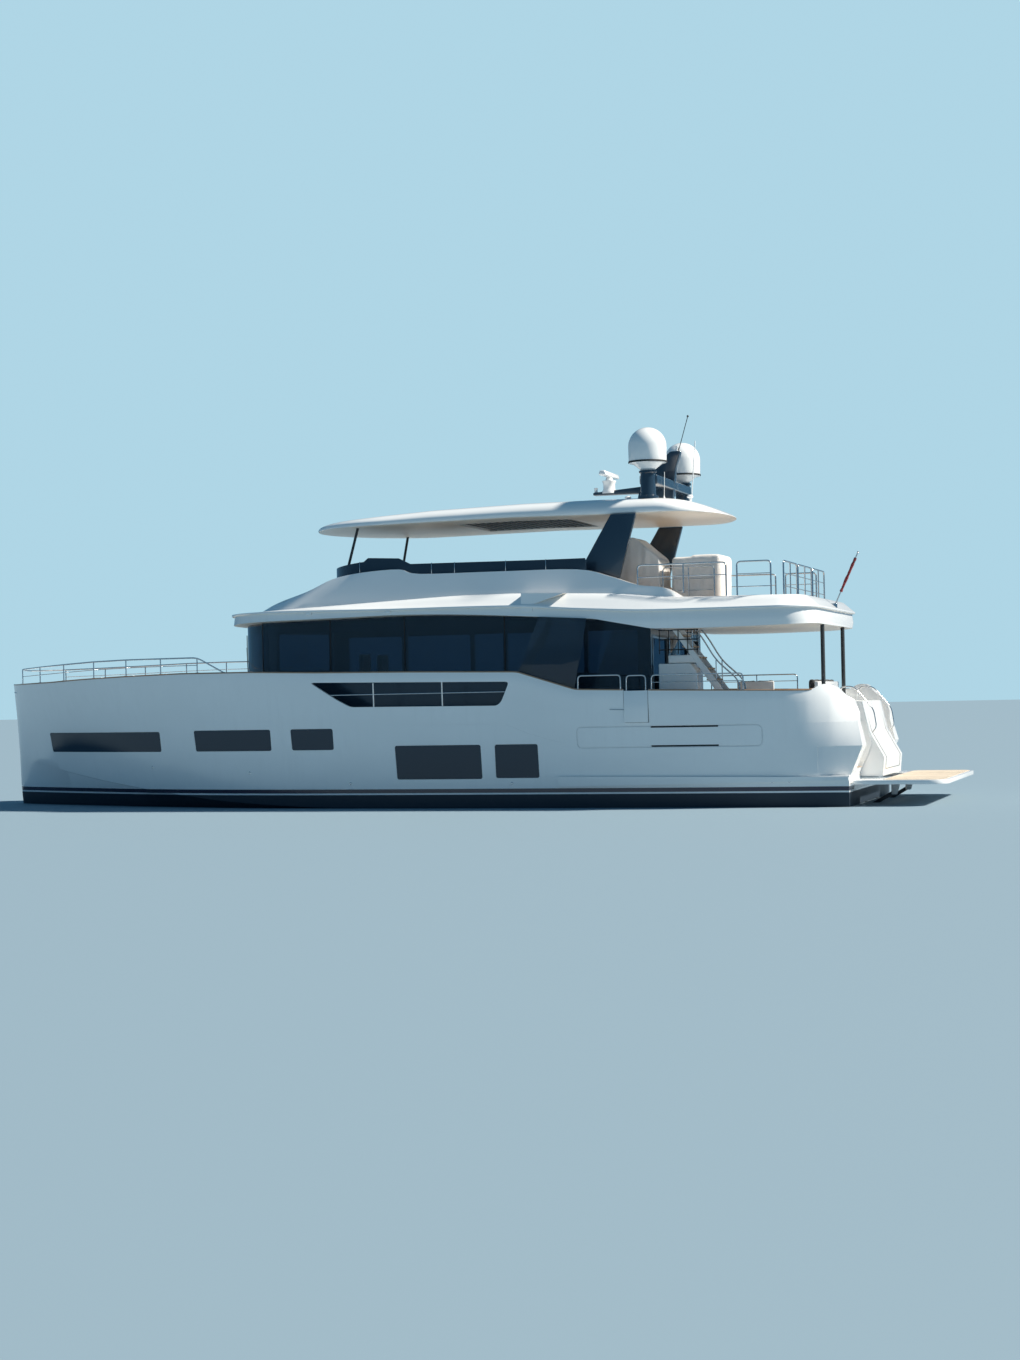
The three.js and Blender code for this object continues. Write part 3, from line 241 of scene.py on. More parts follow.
def make_metal_group():
    inputs = finish_in((0.7, 0.7, 0.7, 1), 0.2, ("Wear", NUMBER, 0.2))
    tree, given, out = new_group("worked_metal", inputs, FINISH_OUT)
    scratches = noise_at(tree, (40, 300, 300), 4.0, 0.7)
    spots = remap(tree, noise_at(tree, (6, 6, 6), 5.0), 0.45, 0.75)
    wear = combined(tree, spots, given.outputs["Wear"])
    dull = toned(tree, given, 0.6, 1.2)
    colour = mix_colour(tree, wear, given.outputs["Color"], dull)
    extra = combined(tree, combined(tree, scratches, 0.12), combined(tree, wear, 0.4), "ADD")
    rough = combined(tree, given.outputs["Roughness"], extra, "ADD")
    return give_out(tree, out, colour, rough, scratches, 0.0004)


GROUPS = {
    "moulded": make_moulded_group(),
    "planks": make_plank_group(),
    "weave": make_weave_group(),
    "metal": make_metal_group(),
}
print("node groups:", ", ".join(group.name for group in GROUPS.values()))

# %% [markdown]
# Each finish is one material: a group for what varies over the surface, feeding a Principled shader whose
# constant values, such as metalness, coat and sheen, are set on its own sockets. The colours follow the
# photograph: white gelcoat, near-black navy glass, blue-black painted legs, polished rails, warm teak.

# %% Materials
def make_finish(name, group, colour, roughness, group_values, shader_values):
    material, tree, shader = new_material(name)
    surface = add_node(tree, "Group", {"node_tree": GROUPS[group]}, Color=(*colour, 1), Roughness=roughness,
                       **group_values)
    plug_in(tree, surface, shader)
    for label, value in shader_values.items():
        shader.inputs[label].default_value = value
    return material


WHITE = (0.84, 0.86, 0.87)
COATED = {"Coat Weight": 0.6, "Coat Roughness": 0.06}
SHEER_CLOTH = {"Sheen Weight": 0.25, "Sheen Roughness": 0.5}
FINISHES = {
    # name: group, colour, roughness, values of the group, values of the shader
    "gelcoat": ("moulded", WHITE, 0.22, {"Grime": 0.10, "Ripple": 0.25}, COATED),
    "nonskid": ("moulded", (0.70, 0.72, 0.73), 0.62, {"Grime": 0.3, "Ripple": 0.6}, {}),
    # painted shade: a warmer, darker copy of the white for the downward faces under the roofs, standing in for shade
    # and warm bounce light
    "underside_painted_shade": ("moulded", (0.82, 0.76, 0.68), 0.35, {"Grime": 0.06, "Ripple": 0.2}, {}),
    "navy": ("moulded", (0.016, 0.036, 0.062), 0.20, {"Grime": 0.10, "Ripple": 0.2}, COATED),
    "graphite": ("moulded", (0.030, 0.036, 0.042), 0.38, {"Grime": 0.25, "Ripple": 0.2}, {}),
    "rubber": ("moulded", (0.012, 0.013, 0.015), 0.6, {"Grime": 0.3, "Ripple": 0.3}, {}),
    "teak": ("planks", (0.46, 0.33, 0.22), 0.55, {"Width": 0.055, "Seam": 0.10}, {}),
    "platform_teak": ("planks", (0.62, 0.52, 0.40), 0.55, {"Width": 0.055, "Seam": 0.09}, {}),
    "varnish": ("planks", (0.30, 0.17, 0.09), 0.25, {"Width": 0.4, "Seam": 0.0}, COATED),
    "upholstery": ("weave", (0.78, 0.76, 0.70), 0.7, {"Threads": 260.0, "Fade": 0.25}, SHEER_CLOTH),
    "cover_cloth": ("weave", (0.76, 0.74, 0.72), 0.8, {"Threads": 180.0, "Fade": 0.35}, SHEER_CLOTH),
    "dark_cloth": ("weave", (0.035, 0.038, 0.043), 0.75, {"Threads": 220.0, "Fade": 0.4}, SHEER_CLOTH),
    "bunting": ("weave", (0.26, 0.022, 0.032), 0.8, {"Threads": 240.0, "Fade": 0.4}, SHEER_CLOTH),
    "stainless": ("metal", (0.62, 0.64, 0.66), 0.10, {"Wear": 0.15}, {"Metallic": 1.0}),
    "bronze": ("metal", (0.55, 0.36, 0.17), 0.30, {"Wear": 0.6}, {"Metallic": 1.0}),
    "engine_enamel": ("metal", (0.48, 0.52, 0.54), 0.35, {"Wear": 0.3}, {"Metallic": 0.3}),
}
FINISH = {name: make_finish(name, *settings) for name, settings in FINISHES.items()}
print("materials:", len(FINISH))

# %% [markdown]
# Tinted glass lets a little light through, so the far windows show as paler patches. Its film of salt is a
# noise in the roughness. The panes of the topsides have a cabin wall close behind, so they are opaque, dark and
# very glossy.

# %% Glass
GLASS_IOR, CLEAN_ROUGHNESS, SALTY_ROUGHNESS = 1.45, 0.015, 0.09


def make_glass(name, colour, transmission):
    material, tree, shader = new_material(name)
    shader.inputs["Base Color"].default_value = (*colour, 1)
    shader.inputs["Transmission Weight"].default_value = transmission
    shader.inputs["IOR"].default_value = GLASS_IOR
    film = remap(tree, noise_at(tree, (2.2, 2.2, 0.9), 6.0, 0.7), 0.45, 0.8, CLEAN_ROUGHNESS, SALTY_ROUGHNESS)
    tree.links.new(film, shader.inputs["Roughness"])
    waves = add_node(tree, "Bump", Strength=0.08, Distance=0.01, Height=noise_at(tree, (0.9, 0.9, 0.9), 1.0))
    tree.links.new(waves.outputs[0], shader.inputs["Normal"])
    return material


FINISH["glass"] = make_glass("tinted_glass", (0.165, 0.235, 0.305), 0.92)
FINISH["dark_glass"] = make_glass("dark_glass", (0.020, 0.038, 0.060), 0.0)
print("glass ready")

# %% [markdown]
# The hull's paint changes with height: dark antifouling below, a thin white line, a deep blue band, and white
# gelcoat above. The stripes are masks on the Object Z coordinate, so they stay level all round the boat, and the
# bottom paint has no coat and a duller surface than the gelcoat.

# %% Hull paint
BOOT_STRIPES = [
    # lowest Z of the stripe, colour
    (0.335, (0.80, 0.82, 0.84, 1)),
    (0.375, (0.020, 0.016, 0.045, 1)),
    (0.475, (*WHITE, 1)),
]
BOTTOM_COLOUR, STRIPE_BLUR = (0.014, 0.027, 0.044, 1), 0.002
GLOSS_FROM, GLOSS_FULL = 0.33, 0.34


def make_hull_paint():
    material, tree, shader = new_material("hull_paint")
    place = add_node(tree, "TexCoord").outputs["Object"]
    height = add_node(tree, "SeparateXYZ", i0=place).outputs[2]
    colour = BOTTOM_COLOUR
    for edge, paint in BOOT_STRIPES:
        colour = mix_colour(tree, remap(tree, height, edge - STRIPE_BLUR, edge + STRIPE_BLUR), colour, paint)
    surface = add_node(tree, "Group", {"node_tree": GROUPS["moulded"]}, Color=colour, Grime=0.10, Ripple=0.35)
    dull = remap(tree, height, GLOSS_FROM, GLOSS_FULL, 0.5, 0.2)
    tree.links.new(dull, surface.inputs["Roughness"])
    plug_in(tree, surface, shader)
    coat = remap(tree, height, GLOSS_FROM, GLOSS_FULL, 0.0, COATED["Coat Weight"])
    tree.links.new(coat, shader.inputs["Coat Weight"])
    shader.inputs["Coat Roughness"].default_value = COATED["Coat Roughness"]
    return material


FINISH["hull_paint"] = make_hull_paint()
print("boot stripes at", [edge for edge, _ in BOOT_STRIPES])

# %% [markdown]
# Every finished piece goes through one function. It merges stray doubles, shades the faces smooth up to an angle,
# puts the piece under the empty of the body that carries it, and hides the CAD nodes it stands for.

# %% Helper that finishes a piece
SLOT_OF = {
    "gelcoat": "gelcoat", "hull_paint": "gelcoat", "navy": "navy_paint", "graphite": "charcoal", "rubber": "charcoal",
    "dark_cloth": "charcoal", "teak": "teak", "platform_teak": "teak", "varnish": "teak", "glass": "glass",
    "dark_glass": "glass", "stainless": "stainless", "bronze": "bronze", "upholstery": "vinyl",
    "cover_cloth": "vinyl", "bunting": "ensign_cloth",
}
PIECE_MERGE = 2e-5
made = {}


def new_object(bm, name):
    """An object with this shape, in the scene. The bmesh is used up."""
    mesh = bpy.data.meshes.new(name)
    bm.to_mesh(mesh)
    bm.free()
    obj = bpy.data.objects.new(name, mesh)
    bpy.context.scene.collection.objects.link(obj)
    return obj


def evaluated(obj):
    """The object as its modifiers leave it."""
    return obj.evaluated_get(bpy.context.evaluated_depsgraph_get())


def bevel_edges(bm, edges, width, rounds):
    bmesh.ops.bevel(
        bm, geom=edges, offset=width, offset_type="OFFSET", segments=rounds, profile=0.5,
        affect="EDGES", clamp_overlap=True, material=-1,
    )
    return bm


def round_edges(bm, width, rounds=2, degrees=30):
    """Rounds every edge that is sharper than this angle."""
    limit = math.radians(degrees)
    sharp = [edge for edge in bm.edges if len(edge.link_faces) == 2 and edge.calc_face_angle(0) > limit]
    return bevel_edges(bm, sharp, width, rounds)


def finish_piece(bm, name, finish, body="yacht", instead=(), slot=None, crease=34):
    bmesh.ops.remove_doubles(bm, verts=bm.verts, dist=PIECE_MERGE)
    for face in bm.faces:
        face.smooth = True
    for edge in bm.edges:
        edge.smooth = len(edge.link_faces) == 2 and edge.calc_face_angle(0) < math.radians(crease)
    obj = new_object(bm, name)
    obj.data.materials.append(FINISH[finish])
    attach(obj, body)
    slot = slot or SLOT_OF[finish]
    if instead:
        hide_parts(*instead)
    made[name] = obj
    print(name, "has", len(obj.data.polygons), "faces")
    return obj


print("slots:", ", ".join(sorted(set(SLOT_OF.values()))))

# %% [markdown]
# A boat is mostly three kinds of solid: an outline seen from the side and carried across, an outline seen from
# above and carried up, and a skin drawn through a row of sections. The first two are one face that is extruded.
# The skin starts as a flat grid whose points are then moved to their places, which keeps the quads in order.

# %% Helpers that make solids
SKIN_MERGE = 1e-5


def outward(bm):
    bmesh.ops.recalc_face_normals(bm, faces=bm.faces)
    return bm


def carried(corners, shift):
    """The flat outline through these corners, carried along shift to make a solid."""
    bm = bmesh.new()
    face = bm.faces.new([bm.verts.new(corner) for corner in corners])
    grown = bmesh.ops.extrude_face_region(bm, geom=[face])["geom"]
    bmesh.ops.translate(bm, vec=shift, verts=[item for item in grown if isinstance(item, bmesh.types.BMVert)])
    return outward(bm)


def side_solid(outline, low=-4.0, high=4.0):
    return carried([(x, low, z) for x, z in outline], (0, high - low, 0))


def plan_solid(outline, low, high):
    return carried([(x, y, low) for x, y in outline], (0, 0, high - low))


def block(x, y, z):
    bm = bmesh.new()
    size = Vector((x[1] - x[0], y[1] - y[0], z[1] - z[0]))
    middle = Vector((x[0] + x[1], y[0] + y[1], z[0] + z[1])) / 2
    bmesh.ops.create_cube(bm, size=1, matrix=Matrix.Translation(middle) @ Matrix.Diagonal((*size, 1)))
    return bm


def skin(columns, ring):
    """A sheet of quads through ring(column) for each column, points in order."""
    rows = [ring(column) for column in columns]
    along, around = len(rows) - 1, len(rows[0]) - 1
    bm = bmesh.new()
    for vert in bmesh.ops.create_grid(bm, x_segments=along, y_segments=around, size=0.5)["verts"]:
        vert.co = rows[round((vert.co.x + 0.5) * along)][round((vert.co.y + 0.5) * around)]
    return bm


def closed(bm, merge=SKIN_MERGE):
    """A skin whose rings end where they start, made into a solid with flat ends."""
    bmesh.ops.remove_doubles(bm, verts=bm.verts, dist=merge)
    bmesh.ops.dissolve_degenerate(bm, edges=bm.edges, dist=1e-6)
    open_edges = [edge for edge in bm.edges if edge.is_boundary]
    bmesh.ops.holes_fill(bm, edges=open_edges, sides=0)
    return outward(bm)


print("faces of a block:", len(block((0, 1), (0, 1), (0, 1)).faces))

# %% [markdown]
# Bars are skins too. At each point of its path a bar has one ring, turned to the path's direction, so bends need
# a few extra points. A corner becomes a short curve that starts and ends on the straight runs beside it.

# %% Helpers for bars and rounded corners
CORNER_SHARE = 0.45


def full_turn(steps):
    """Angles once round, with the first one again at the end."""
    return [2 * math.pi * k / steps for k in range(steps + 1)]


def tube(points, radius, sides, ends=True):
    """A round bar along points: one ring for each point, turned to the path."""
    path = [Vector(point) for point in points]
    rings = []
    for i, point in enumerate(path):
        along = (path[min(i + 1, len(path) - 1)] - path[max(i - 1, 0)]).normalized()
        side = along.cross(Vector((0.123, 0.331, 0.935))).normalized()
        up = along.cross(side)
        rings.append([point + radius * (math.cos(t) * side + math.sin(t) * up) for t in full_turn(sides)])
    bm = skin(rings, lambda ring: ring)
    return closed(bm) if ends else bm


def corner_arc(before, corner, after, radius, steps):
    """Points round a corner. The arc takes less than half of each straight run beside it."""
    reach = min(radius, (before - corner).length * CORNER_SHARE, (after - corner).length * CORNER_SHARE)
    start = corner + (before - corner).normalized() * reach
    end = corner + (after - corner).normalized() * reach
    shares = [k / steps for k in range(steps + 1)]
    return [start * (1 - t) ** 2 + corner * 2 * t * (1 - t) + end * t * t for t in shares]


def filleted(points, radius, steps):
    """The same route with each corner rounded."""
    path = [Vector(point) for point in points]
    route = [path[0]]
    for before, corner, after in zip(path, path[1:], path[2:]):
        route += corner_arc(before, corner, after, radius, steps)
    return [*route, path[-1]]


def rounded_path(points, radius, steps=5):
    """A flat outline, given as pairs, with every corner rounded."""
    path = [Vector(point) for point in points]
    route = []
    for i, corner in enumerate(path):
        route += corner_arc(path[i - 1], corner, path[(i + 1) % len(path)], radius, steps)
    return [tuple(point) for point in route]


print("points round a square:", len(rounded_path([(0, 0), (1, 0), (1, 1), (0, 1)], 0.1)))

# %% [markdown]
# Domes, drums and flanges are a profile spun round an upright axis. What stands on both sides is made for port
# and mirrored for starboard, and loose shapes of one piece are put together in one mesh.

# %% Helpers for turned, joined and mirrored shapes
def turned(profile, sides=48, place=(0, 0, 0)):
    """A profile of radius and height, spun once round the upright axis through place."""
    bm = bmesh.new()
    verts = [bm.verts.new((radius, 0, height)) for radius, height in profile]
    edges = [bm.edges.new(pair) for pair in zip(verts, verts[1:])]
    bmesh.ops.spin(
        bm, geom=verts + edges, cent=(0, 0, 0), axis=(0, 0, 1), dvec=(0, 0, 0),
        angle=2 * math.pi, steps=sides, use_merge=True, use_duplicate=False,
    )
    bmesh.ops.remove_doubles(bm, verts=bm.verts, dist=SKIN_MERGE)
    bmesh.ops.translate(bm, vec=place, verts=bm.verts)
    return outward(bm)


def together(*parts):
    """Several loose shapes in one mesh."""
    whole = bmesh.new()
    for part in parts:
        mesh = bpy.data.meshes.new("part")
        part.to_mesh(mesh)
        whole.from_mesh(mesh)
        bpy.data.meshes.remove(mesh)
        part.free()
    return whole


def mirror_y(bm):
    bmesh.ops.scale(bm, vec=(1, -1, 1), verts=bm.verts)
    bmesh.ops.reverse_faces(bm, faces=bm.faces)
    return bm


SIDES = (("port", 1), ("starboard", -1))


def on_side(bm, sign):
    """The port piece as it is made, or its mirror image for starboard."""
    return bm if sign > 0 else mirror_y(bm)


def both_sides(make):
    return [make(), mirror_y(make())]


print("sides:", SIDES)

# %% [markdown]
# Cutting one solid with another is the Boolean modifier's work. The helper puts both shapes in short-lived
# objects, lets the modifier work out the result, and hands back a fresh bmesh, so cuts read like sums.

# %% Helpers that join and cut solids
def boolean(first, second, operation):
    objects = [new_object(bm, "work") for bm in (first, second)]
    modifier = objects[0].modifiers.new("work", "BOOLEAN")
    modifier.object, modifier.operation, modifier.solver = objects[1], operation, "MANIFOLD"
    bpy.context.view_layer.update()
    result = bmesh.new()
    result.from_mesh(evaluated(objects[0]).to_mesh())
    for obj in objects:
        mesh = obj.data
        bpy.data.objects.remove(obj)
        bpy.data.meshes.remove(mesh)
    if not result.faces:
        raise ValueError(f"{operation} left nothing")
    return result


def cut(first, *others):
    for other in others:
        first = boolean(first, other, "DIFFERENCE")
    return first


def join(first, *others):
    for other in others:
        first = boolean(first, other, "UNION")
    return first


def common(first, *others):
    for other in others:
        first = boolean(first, other, "INTERSECT")
    return first


print("solid helpers ready")

# %% [markdown]
# The hull's lines are a table of stations, as a designer draws them: for each place along the boat the depth of
# the keel, the chine and the rail. A boat's lines are fair, so between stations the values follow a smooth
# curve that never overshoots: a cubic whose slope at each station is the harmonic mean of its neighbours.

# %% The lines of the hull
STATIONS = [
    # x, keel z, chine y, chine z, rail y, rail z, flare
    (-11.3, -0.70, 3.04, -0.08, 1.50, 2.90, 1.5),
    (-10.8, -0.73, 3.07, -0.08, 2.02, 2.90, 1.5),
    (-10.2, -0.78, 3.10, -0.085, 2.85, 2.90, 1.2),
    (-9.6, -0.82, 3.13, -0.09, 3.26, 2.90, 0.6),
    (-9.0, -0.86, 3.15, -0.09, 3.40, 2.90, 0),
    (-6.5, -1.02, 3.21, -0.10, 3.50, 2.90, 0),
    (-4.0, -1.15, 3.23, -0.10, 3.532, 3.05, 0),
    (-1.5, -1.24, 3.22, -0.09, 3.535, 3.30, 0),
    (1.0, -1.29, 3.18, -0.04, 3.533, 3.345, 0),
    (3.2, -1.31, 3.06, 0.04, 3.515, 3.39, 0.05),
    (5.0, -1.31, 2.86, 0.15, 3.44, 3.425, 0.1),
    (6.6, -1.30, 2.56, 0.32, 3.27, 3.425, 0.15),
    (8.0, -1.28, 2.20, 0.50, 3.00, 3.39, 0.2),
    (9.2, -1.24, 1.80, 0.67, 2.66, 3.355, 0.25),
    (10.2, -1.18, 1.42, 0.83, 2.30, 3.315, 0.3),
    (11.0, -1.08, 1.08, 0.97, 1.90, 3.29, 0.3),
    (11.7, -0.90, 0.74, 1.09, 1.45, 3.275, 0.3),
    (12.2, -0.64, 0.47, 1.17, 1.05, 3.27, 0.3),
    (12.55, -0.33, 0.28, 1.23, 0.69, 3.272, 0.25),
    (12.735, 0.0, 0.13, 1.27, 0.37, 3.278, 0.2),
    (12.785, 2.30, 0.03, 2.50, 0.06, 3.28, 0),
]
CHINE_LEDGE, CHINE_STEP, FULL_CHINE_Y = 0.045, 0.015, 3.2
BOTTOM_CURVE = [(0.3, 0.17), (0.6, 0.38), (0.8, 0.64), (1.0, 1.0)]  # shares of the chine's breadth and of its rise
SIDE_ROWS, ABOVE_RAIL = 12, 0.2
DECK_Z, SIDE_DECK_Z, DECK_STEP_X, BULWARK_AFT_X = 2.4, 1.95, -3.5, -10.83
STAND_Z = 1.951  # where things stand on the side deck and in the cockpit
STERN_X, STEM_X = STATIONS[0][0], STATIONS[-1][0]


def station_slope(i, column):
    def secant(k):
        return (STATIONS[k + 1][column] - STATIONS[k][column]) / (STATIONS[k + 1][0] - STATIONS[k][0])

    if i in (0, len(STATIONS) - 1):
        return secant(min(i, len(STATIONS) - 2))
    left, right = secant(i - 1), secant(i)
    return 0.0 if left * right <= 0 else 2 * left * right / (left + right)


def fair(x, column):
    x = min(max(x, STERN_X), STEM_X)
    i = max(k for k in range(len(STATIONS) - 1) if STATIONS[k][0] <= x)
    width = STATIONS[i + 1][0] - STATIONS[i][0]
    t = (x - STATIONS[i][0]) / width
    start, end = STATIONS[i][column], STATIONS[i + 1][column]
    slope_in, slope_out = station_slope(i, column) * width, station_slope(i + 1, column) * width
    rise = (1 + 2 * t) * (1 - t) ** 2 * start + t * t * (3 - 2 * t) * end
    return rise + t * (1 - t) ** 2 * slope_in - t * t * (1 - t) * slope_out


def half_beam(x, z):
    """Half the hull's width at this place and height, above the chine."""
    chine_y, chine_z, rail_y, rail_z, flare = (fair(x, column) for column in (2, 3, 4, 5, 6))
    foot_y = chine_y + CHINE_LEDGE * chine_y / FULL_CHINE_Y
    step = max((z - chine_z - CHINE_STEP) / (rail_z - chine_z - CHINE_STEP), 0.0)
    return max(foot_y + (rail_y - foot_y) * (step - flare * step * (1 - step)), 0.002)


def hull_ring(x):
    keel_z, chine_y, chine_z, rail_z = (fair(x, column) for column in (1, 2, 3, 5))
    side = [(max(share * chine_y, 0.002), keel_z + (chine_z - keel_z) * rise) for share, rise in BOTTOM_CURVE]
    foot_z = chine_z + CHINE_STEP
    for k in range(SIDE_ROWS + 1):
        z = foot_z + (rail_z + ABOVE_RAIL - foot_z) * k / SIDE_ROWS
        side.append((half_beam(x, z), z))
    port = [(x, y, z) for y, z in side]
    starboard = [(x, -y, z) for y, z in reversed(side)]
    return [(x, 0, keel_z), *port, *starboard, (x, 0, keel_z)]


HULL_COLUMNS = [
    start + (end - start) * k / 5 for (start, *_), (end, *_) in zip(STATIONS, STATIONS[1:]) for k in range(5)
] + [STEM_X]


def hull_form():
    return closed(skin(HULL_COLUMNS, hull_ring))


print("hull columns:", len(HULL_COLUMNS), "beam at the rail:", round(2 * half_beam(0, 3.3), 3))

# %% [markdown]
# The windows, the blank name panel and the style lines are all shallow shapes that follow the topsides. Each is
# a thin slab: a grid laid over a four-cornered outline, moved onto the hull's side at one depth, and given its
# thickness by an extrusion across the boat. The same slab cuts a recess or becomes the pane in it.

# %% Slabs that follow the topsides
SLAB_MERGE = 1e-4


def side_slab(corners, inner, outer, parts, corner_radius=0.0):
    """A slab between two depths behind the side's surface, over a four-cornered outline in x and z."""
    forward_top, aft_top, aft_bottom, forward_bottom = (Vector(corner) for corner in corners)

    def ring(u):
        top, bottom = forward_top.lerp(aft_top, u), forward_bottom.lerp(aft_bottom, u)
        points = [top.lerp(bottom, k / parts[1]) for k in range(parts[1] + 1)]
        near = [(x, half_beam(x, z) - inner, z) for x, z in points]
        far = [(x, half_beam(x, z) - outer, z) for x, z in reversed(points)]
        return [*near, *far, near[0]]

    bm = closed(skin([k / parts[0] for k in range(parts[0] + 1)], ring), SLAB_MERGE)
    if corner_radius:
        across = [e for e in bm.edges if abs((e.verts[0].co - e.verts[1].co).normalized().y) > 0.9]
        bevel_edges(bm, [e for e in across if e.calc_face_angle(0) > 0.9], corner_radius, 4)
    return bm


HULL_WINDOWS = [
    # forward top, aft top, aft bottom, forward bottom
    [(11.10, 1.96), (7.04, 1.96), (7.05, 1.44), (11.10, 1.44)],
    [(5.965, 1.98), (3.727, 1.98), (3.727, 1.444), (5.95, 1.444)],
    [(3.165, 1.98), (2.008, 1.98), (2.003, 1.45), (3.148, 1.45)],
    [(0.378, 1.54), (-1.844, 1.54), (-1.86, 0.708), (0.35, 0.708)],
    [(-2.203, 1.54), (-3.288, 1.54), (-3.303, 0.725), (-2.205, 0.725)],
]
WINDOW_RECESS, WINDOW_CORNER, WINDOW_PARTS = 0.014, 0.05, (20, 3)
NAME_PANEL = [(-4.30, 1.91), (-8.70, 1.91), (-8.70, 1.45), (-4.30, 1.45)]
STYLE_LINE = [(6.2, 2.18), (1.9, 2.12), (-0.2, 2.05), (-2.5, 2.02), (-3.1, 1.78), (-3.95, 1.54)]
PANEL_SLOT_Z, OUTSIDE = (1.435, 1.885), -0.05


def panel_slots(forward_x, aft_x, low, high):
    """The outlines of the two slots in the name panel."""
    return [[(forward_x, z + high), (aft_x, z + high), (aft_x, z + low), (forward_x, z + low)] for z in PANEL_SLOT_Z]


print("windows on each side:", len(HULL_WINDOWS), "style lines:", len(STYLE_LINE) - 1)

# %% [markdown]
# The hull is cut and joined from the fair form in the order a builder would think of it: the deck line, the
# tucked quarters, the transom block, the steps down to the swim platform, the spray strake, the thruster
# tunnel, and then the shallow recesses in the topsides.

# %% Hull
TRANSOM_X, TRANSOM_TOP_Z = -10.67, 2.41
KNUCKLE = (-10.96, 1.40)
STEP_Y, STEP_X, STEP_RUN, STEP_RISE, STEP_COUNT = (1.54, 2.34), -9.75, 0.25, 0.27, 4
TUCK_X, TUCK_LENGTH = -9.95, 1.45
GROOVE_WIDTH, GROOVE_DEPTH = 0.018, 0.006


def grown(corners, margin):
    """A four-cornered outline pushed out by a margin on every side."""
    outward_x, outward_z = (1, -1, -1, 1), (1, 1, -1, -1)
    return [(x + i * margin, z + k * margin) for (x, z), i, k in zip(corners, outward_x, outward_z)]


def style_groove(first, last):
    (x0, z0), (x1, z1) = first, last
    corners = [(x0, z0 + GROOVE_WIDTH), (x1, z1 + GROOVE_WIDTH), (x1, z1), (x0, z0)]
    return side_slab(corners, GROOVE_DEPTH, OUTSIDE, (16, 1))


def quarter_cut(sign):
    """A wedge that deepens aft, below the quarter's knuckle."""
    def ring(x):
        share = (TUCK_X - x) / TUCK_LENGTH
        upper, lower = 3.11 - 0.23 * share, 3.15 - 0.60 * share
        corners = [(upper, 1.40), (3.80, 1.40), (3.80, 0.72), (lower, 0.72), (upper, 1.40)]
        return [(x, sign * y, z) for y, z in corners]

    return closed(skin([TUCK_X - 0.145 * k for k in range(11)], ring))


def make_hull():
    side = [
        (13, DECK_Z), (DECK_STEP_X, DECK_Z), (DECK_STEP_X, SIDE_DECK_Z), (BULWARK_AFT_X, SIDE_DECK_Z), KNUCKLE,
        (TRANSOM_X, 0.74), (TRANSOM_X, -2.5), (13, -2.5),
    ]
    hull = common(hull_form(), side_solid(side))
    for sign in (1, -1):
        hull = cut(hull, quarter_cut(sign))
    block_side = [
        (-9.99, 1.90), (-9.99, TRANSOM_TOP_Z), (-10.74, TRANSOM_TOP_Z), (-10.90, 1.70), (-11.24, 1.08),
        (-11.20, 0.64), (-10.60, 0.64),
    ]
    hull = join(hull, side_solid(block_side, -STEP_Y[0] + 0.04, STEP_Y[0] - 0.04))
    for i in range(STEP_COUNT):
        for y in (STEP_Y, (-STEP_Y[1], -STEP_Y[0])):
            hull = cut(hull, block((-12, STEP_X - STEP_RUN * i), y, (SIDE_DECK_Z - STEP_RISE * (i + 1), 3)))
    strake = [(-3.77, 0.76), (-10.66, 0.69), (-10.66, 0.61), (-3.77, 0.51)]
    hull = join(hull, *both_sides(lambda: side_slab(strake, 0.05, -0.06, (40, 1))))
    tunnel = tube([(10.5, -2.5, -0.52), (10.5, 2.5, -0.52)], 0.19, 32)
    hatch_well = block((9.95, 10.45), (-0.25, 0.25), (DECK_Z - 0.06, 3))
    hatch_frame = block((9.89, 10.51), (-0.31, 0.31), (DECK_Z - 0.01, DECK_Z + 0.07))
    keel = side_solid([(6.5, -1.2), (-7.6, -0.9), (-7.9, -1.0), (-6.2, -1.55), (5.2, -1.55)], -0.09, 0.09)
    return cut(join(cut(hull, tunnel), hatch_frame, keel), hatch_well)


def cut_topsides(hull):
    for corners in HULL_WINDOWS:
        hull = cut(hull, *both_sides(lambda: side_slab(corners, WINDOW_RECESS, -0.06, WINDOW_PARTS, WINDOW_CORNER)))
    groove = grown(NAME_PANEL, 0.03)
    for _, sign in SIDES:
        plate = side_slab(NAME_PANEL, 0.04, -0.08, WINDOW_PARTS, 0.11)
        ring = cut(side_slab(groove, 0.022, OUTSIDE, WINDOW_PARTS, 0.13), plate)
        hull = cut(hull, on_side(ring, sign))
    for slot in panel_slots(-6.08, -7.69, 0, 0.04):
        hull = cut(hull, *both_sides(lambda: side_slab(slot, 0.04, OUTSIDE, (12, 1))))
    for first, last in zip(STYLE_LINE, STYLE_LINE[1:]):
        hull = cut(hull, *both_sides(lambda: style_groove(first, last)))
    return hull


finish_piece(cut_topsides(make_hull()), "hull_moulding", "hull_paint", instead=["hull"], crease=28)

# %% [markdown]
# A pane fills each recess of the topsides, a hair smaller than the recess and flush with the side. The two slots
# of the name panel get dark fillings in the same way.

# %% Panes in the topsides
for number, corners in enumerate(HULL_WINDOWS, 1):
    pane = grown(corners, -0.004)
    panes = both_sides(lambda: side_slab(pane, WINDOW_RECESS - 0.001, 0.005, WINDOW_PARTS, WINDOW_CORNER - 0.003))
    finish_piece(together(*panes), f"topside_pane_{number}", "dark_glass")

slot_fills = []
for slot in panel_slots(-6.09, -7.68, 0.004, 0.036):
    slot_fills += both_sides(lambda: side_slab(slot, 0.038, 0.012, (12, 1)))
finish_piece(together(*slot_fills), "name_panel_slots", "rubber")

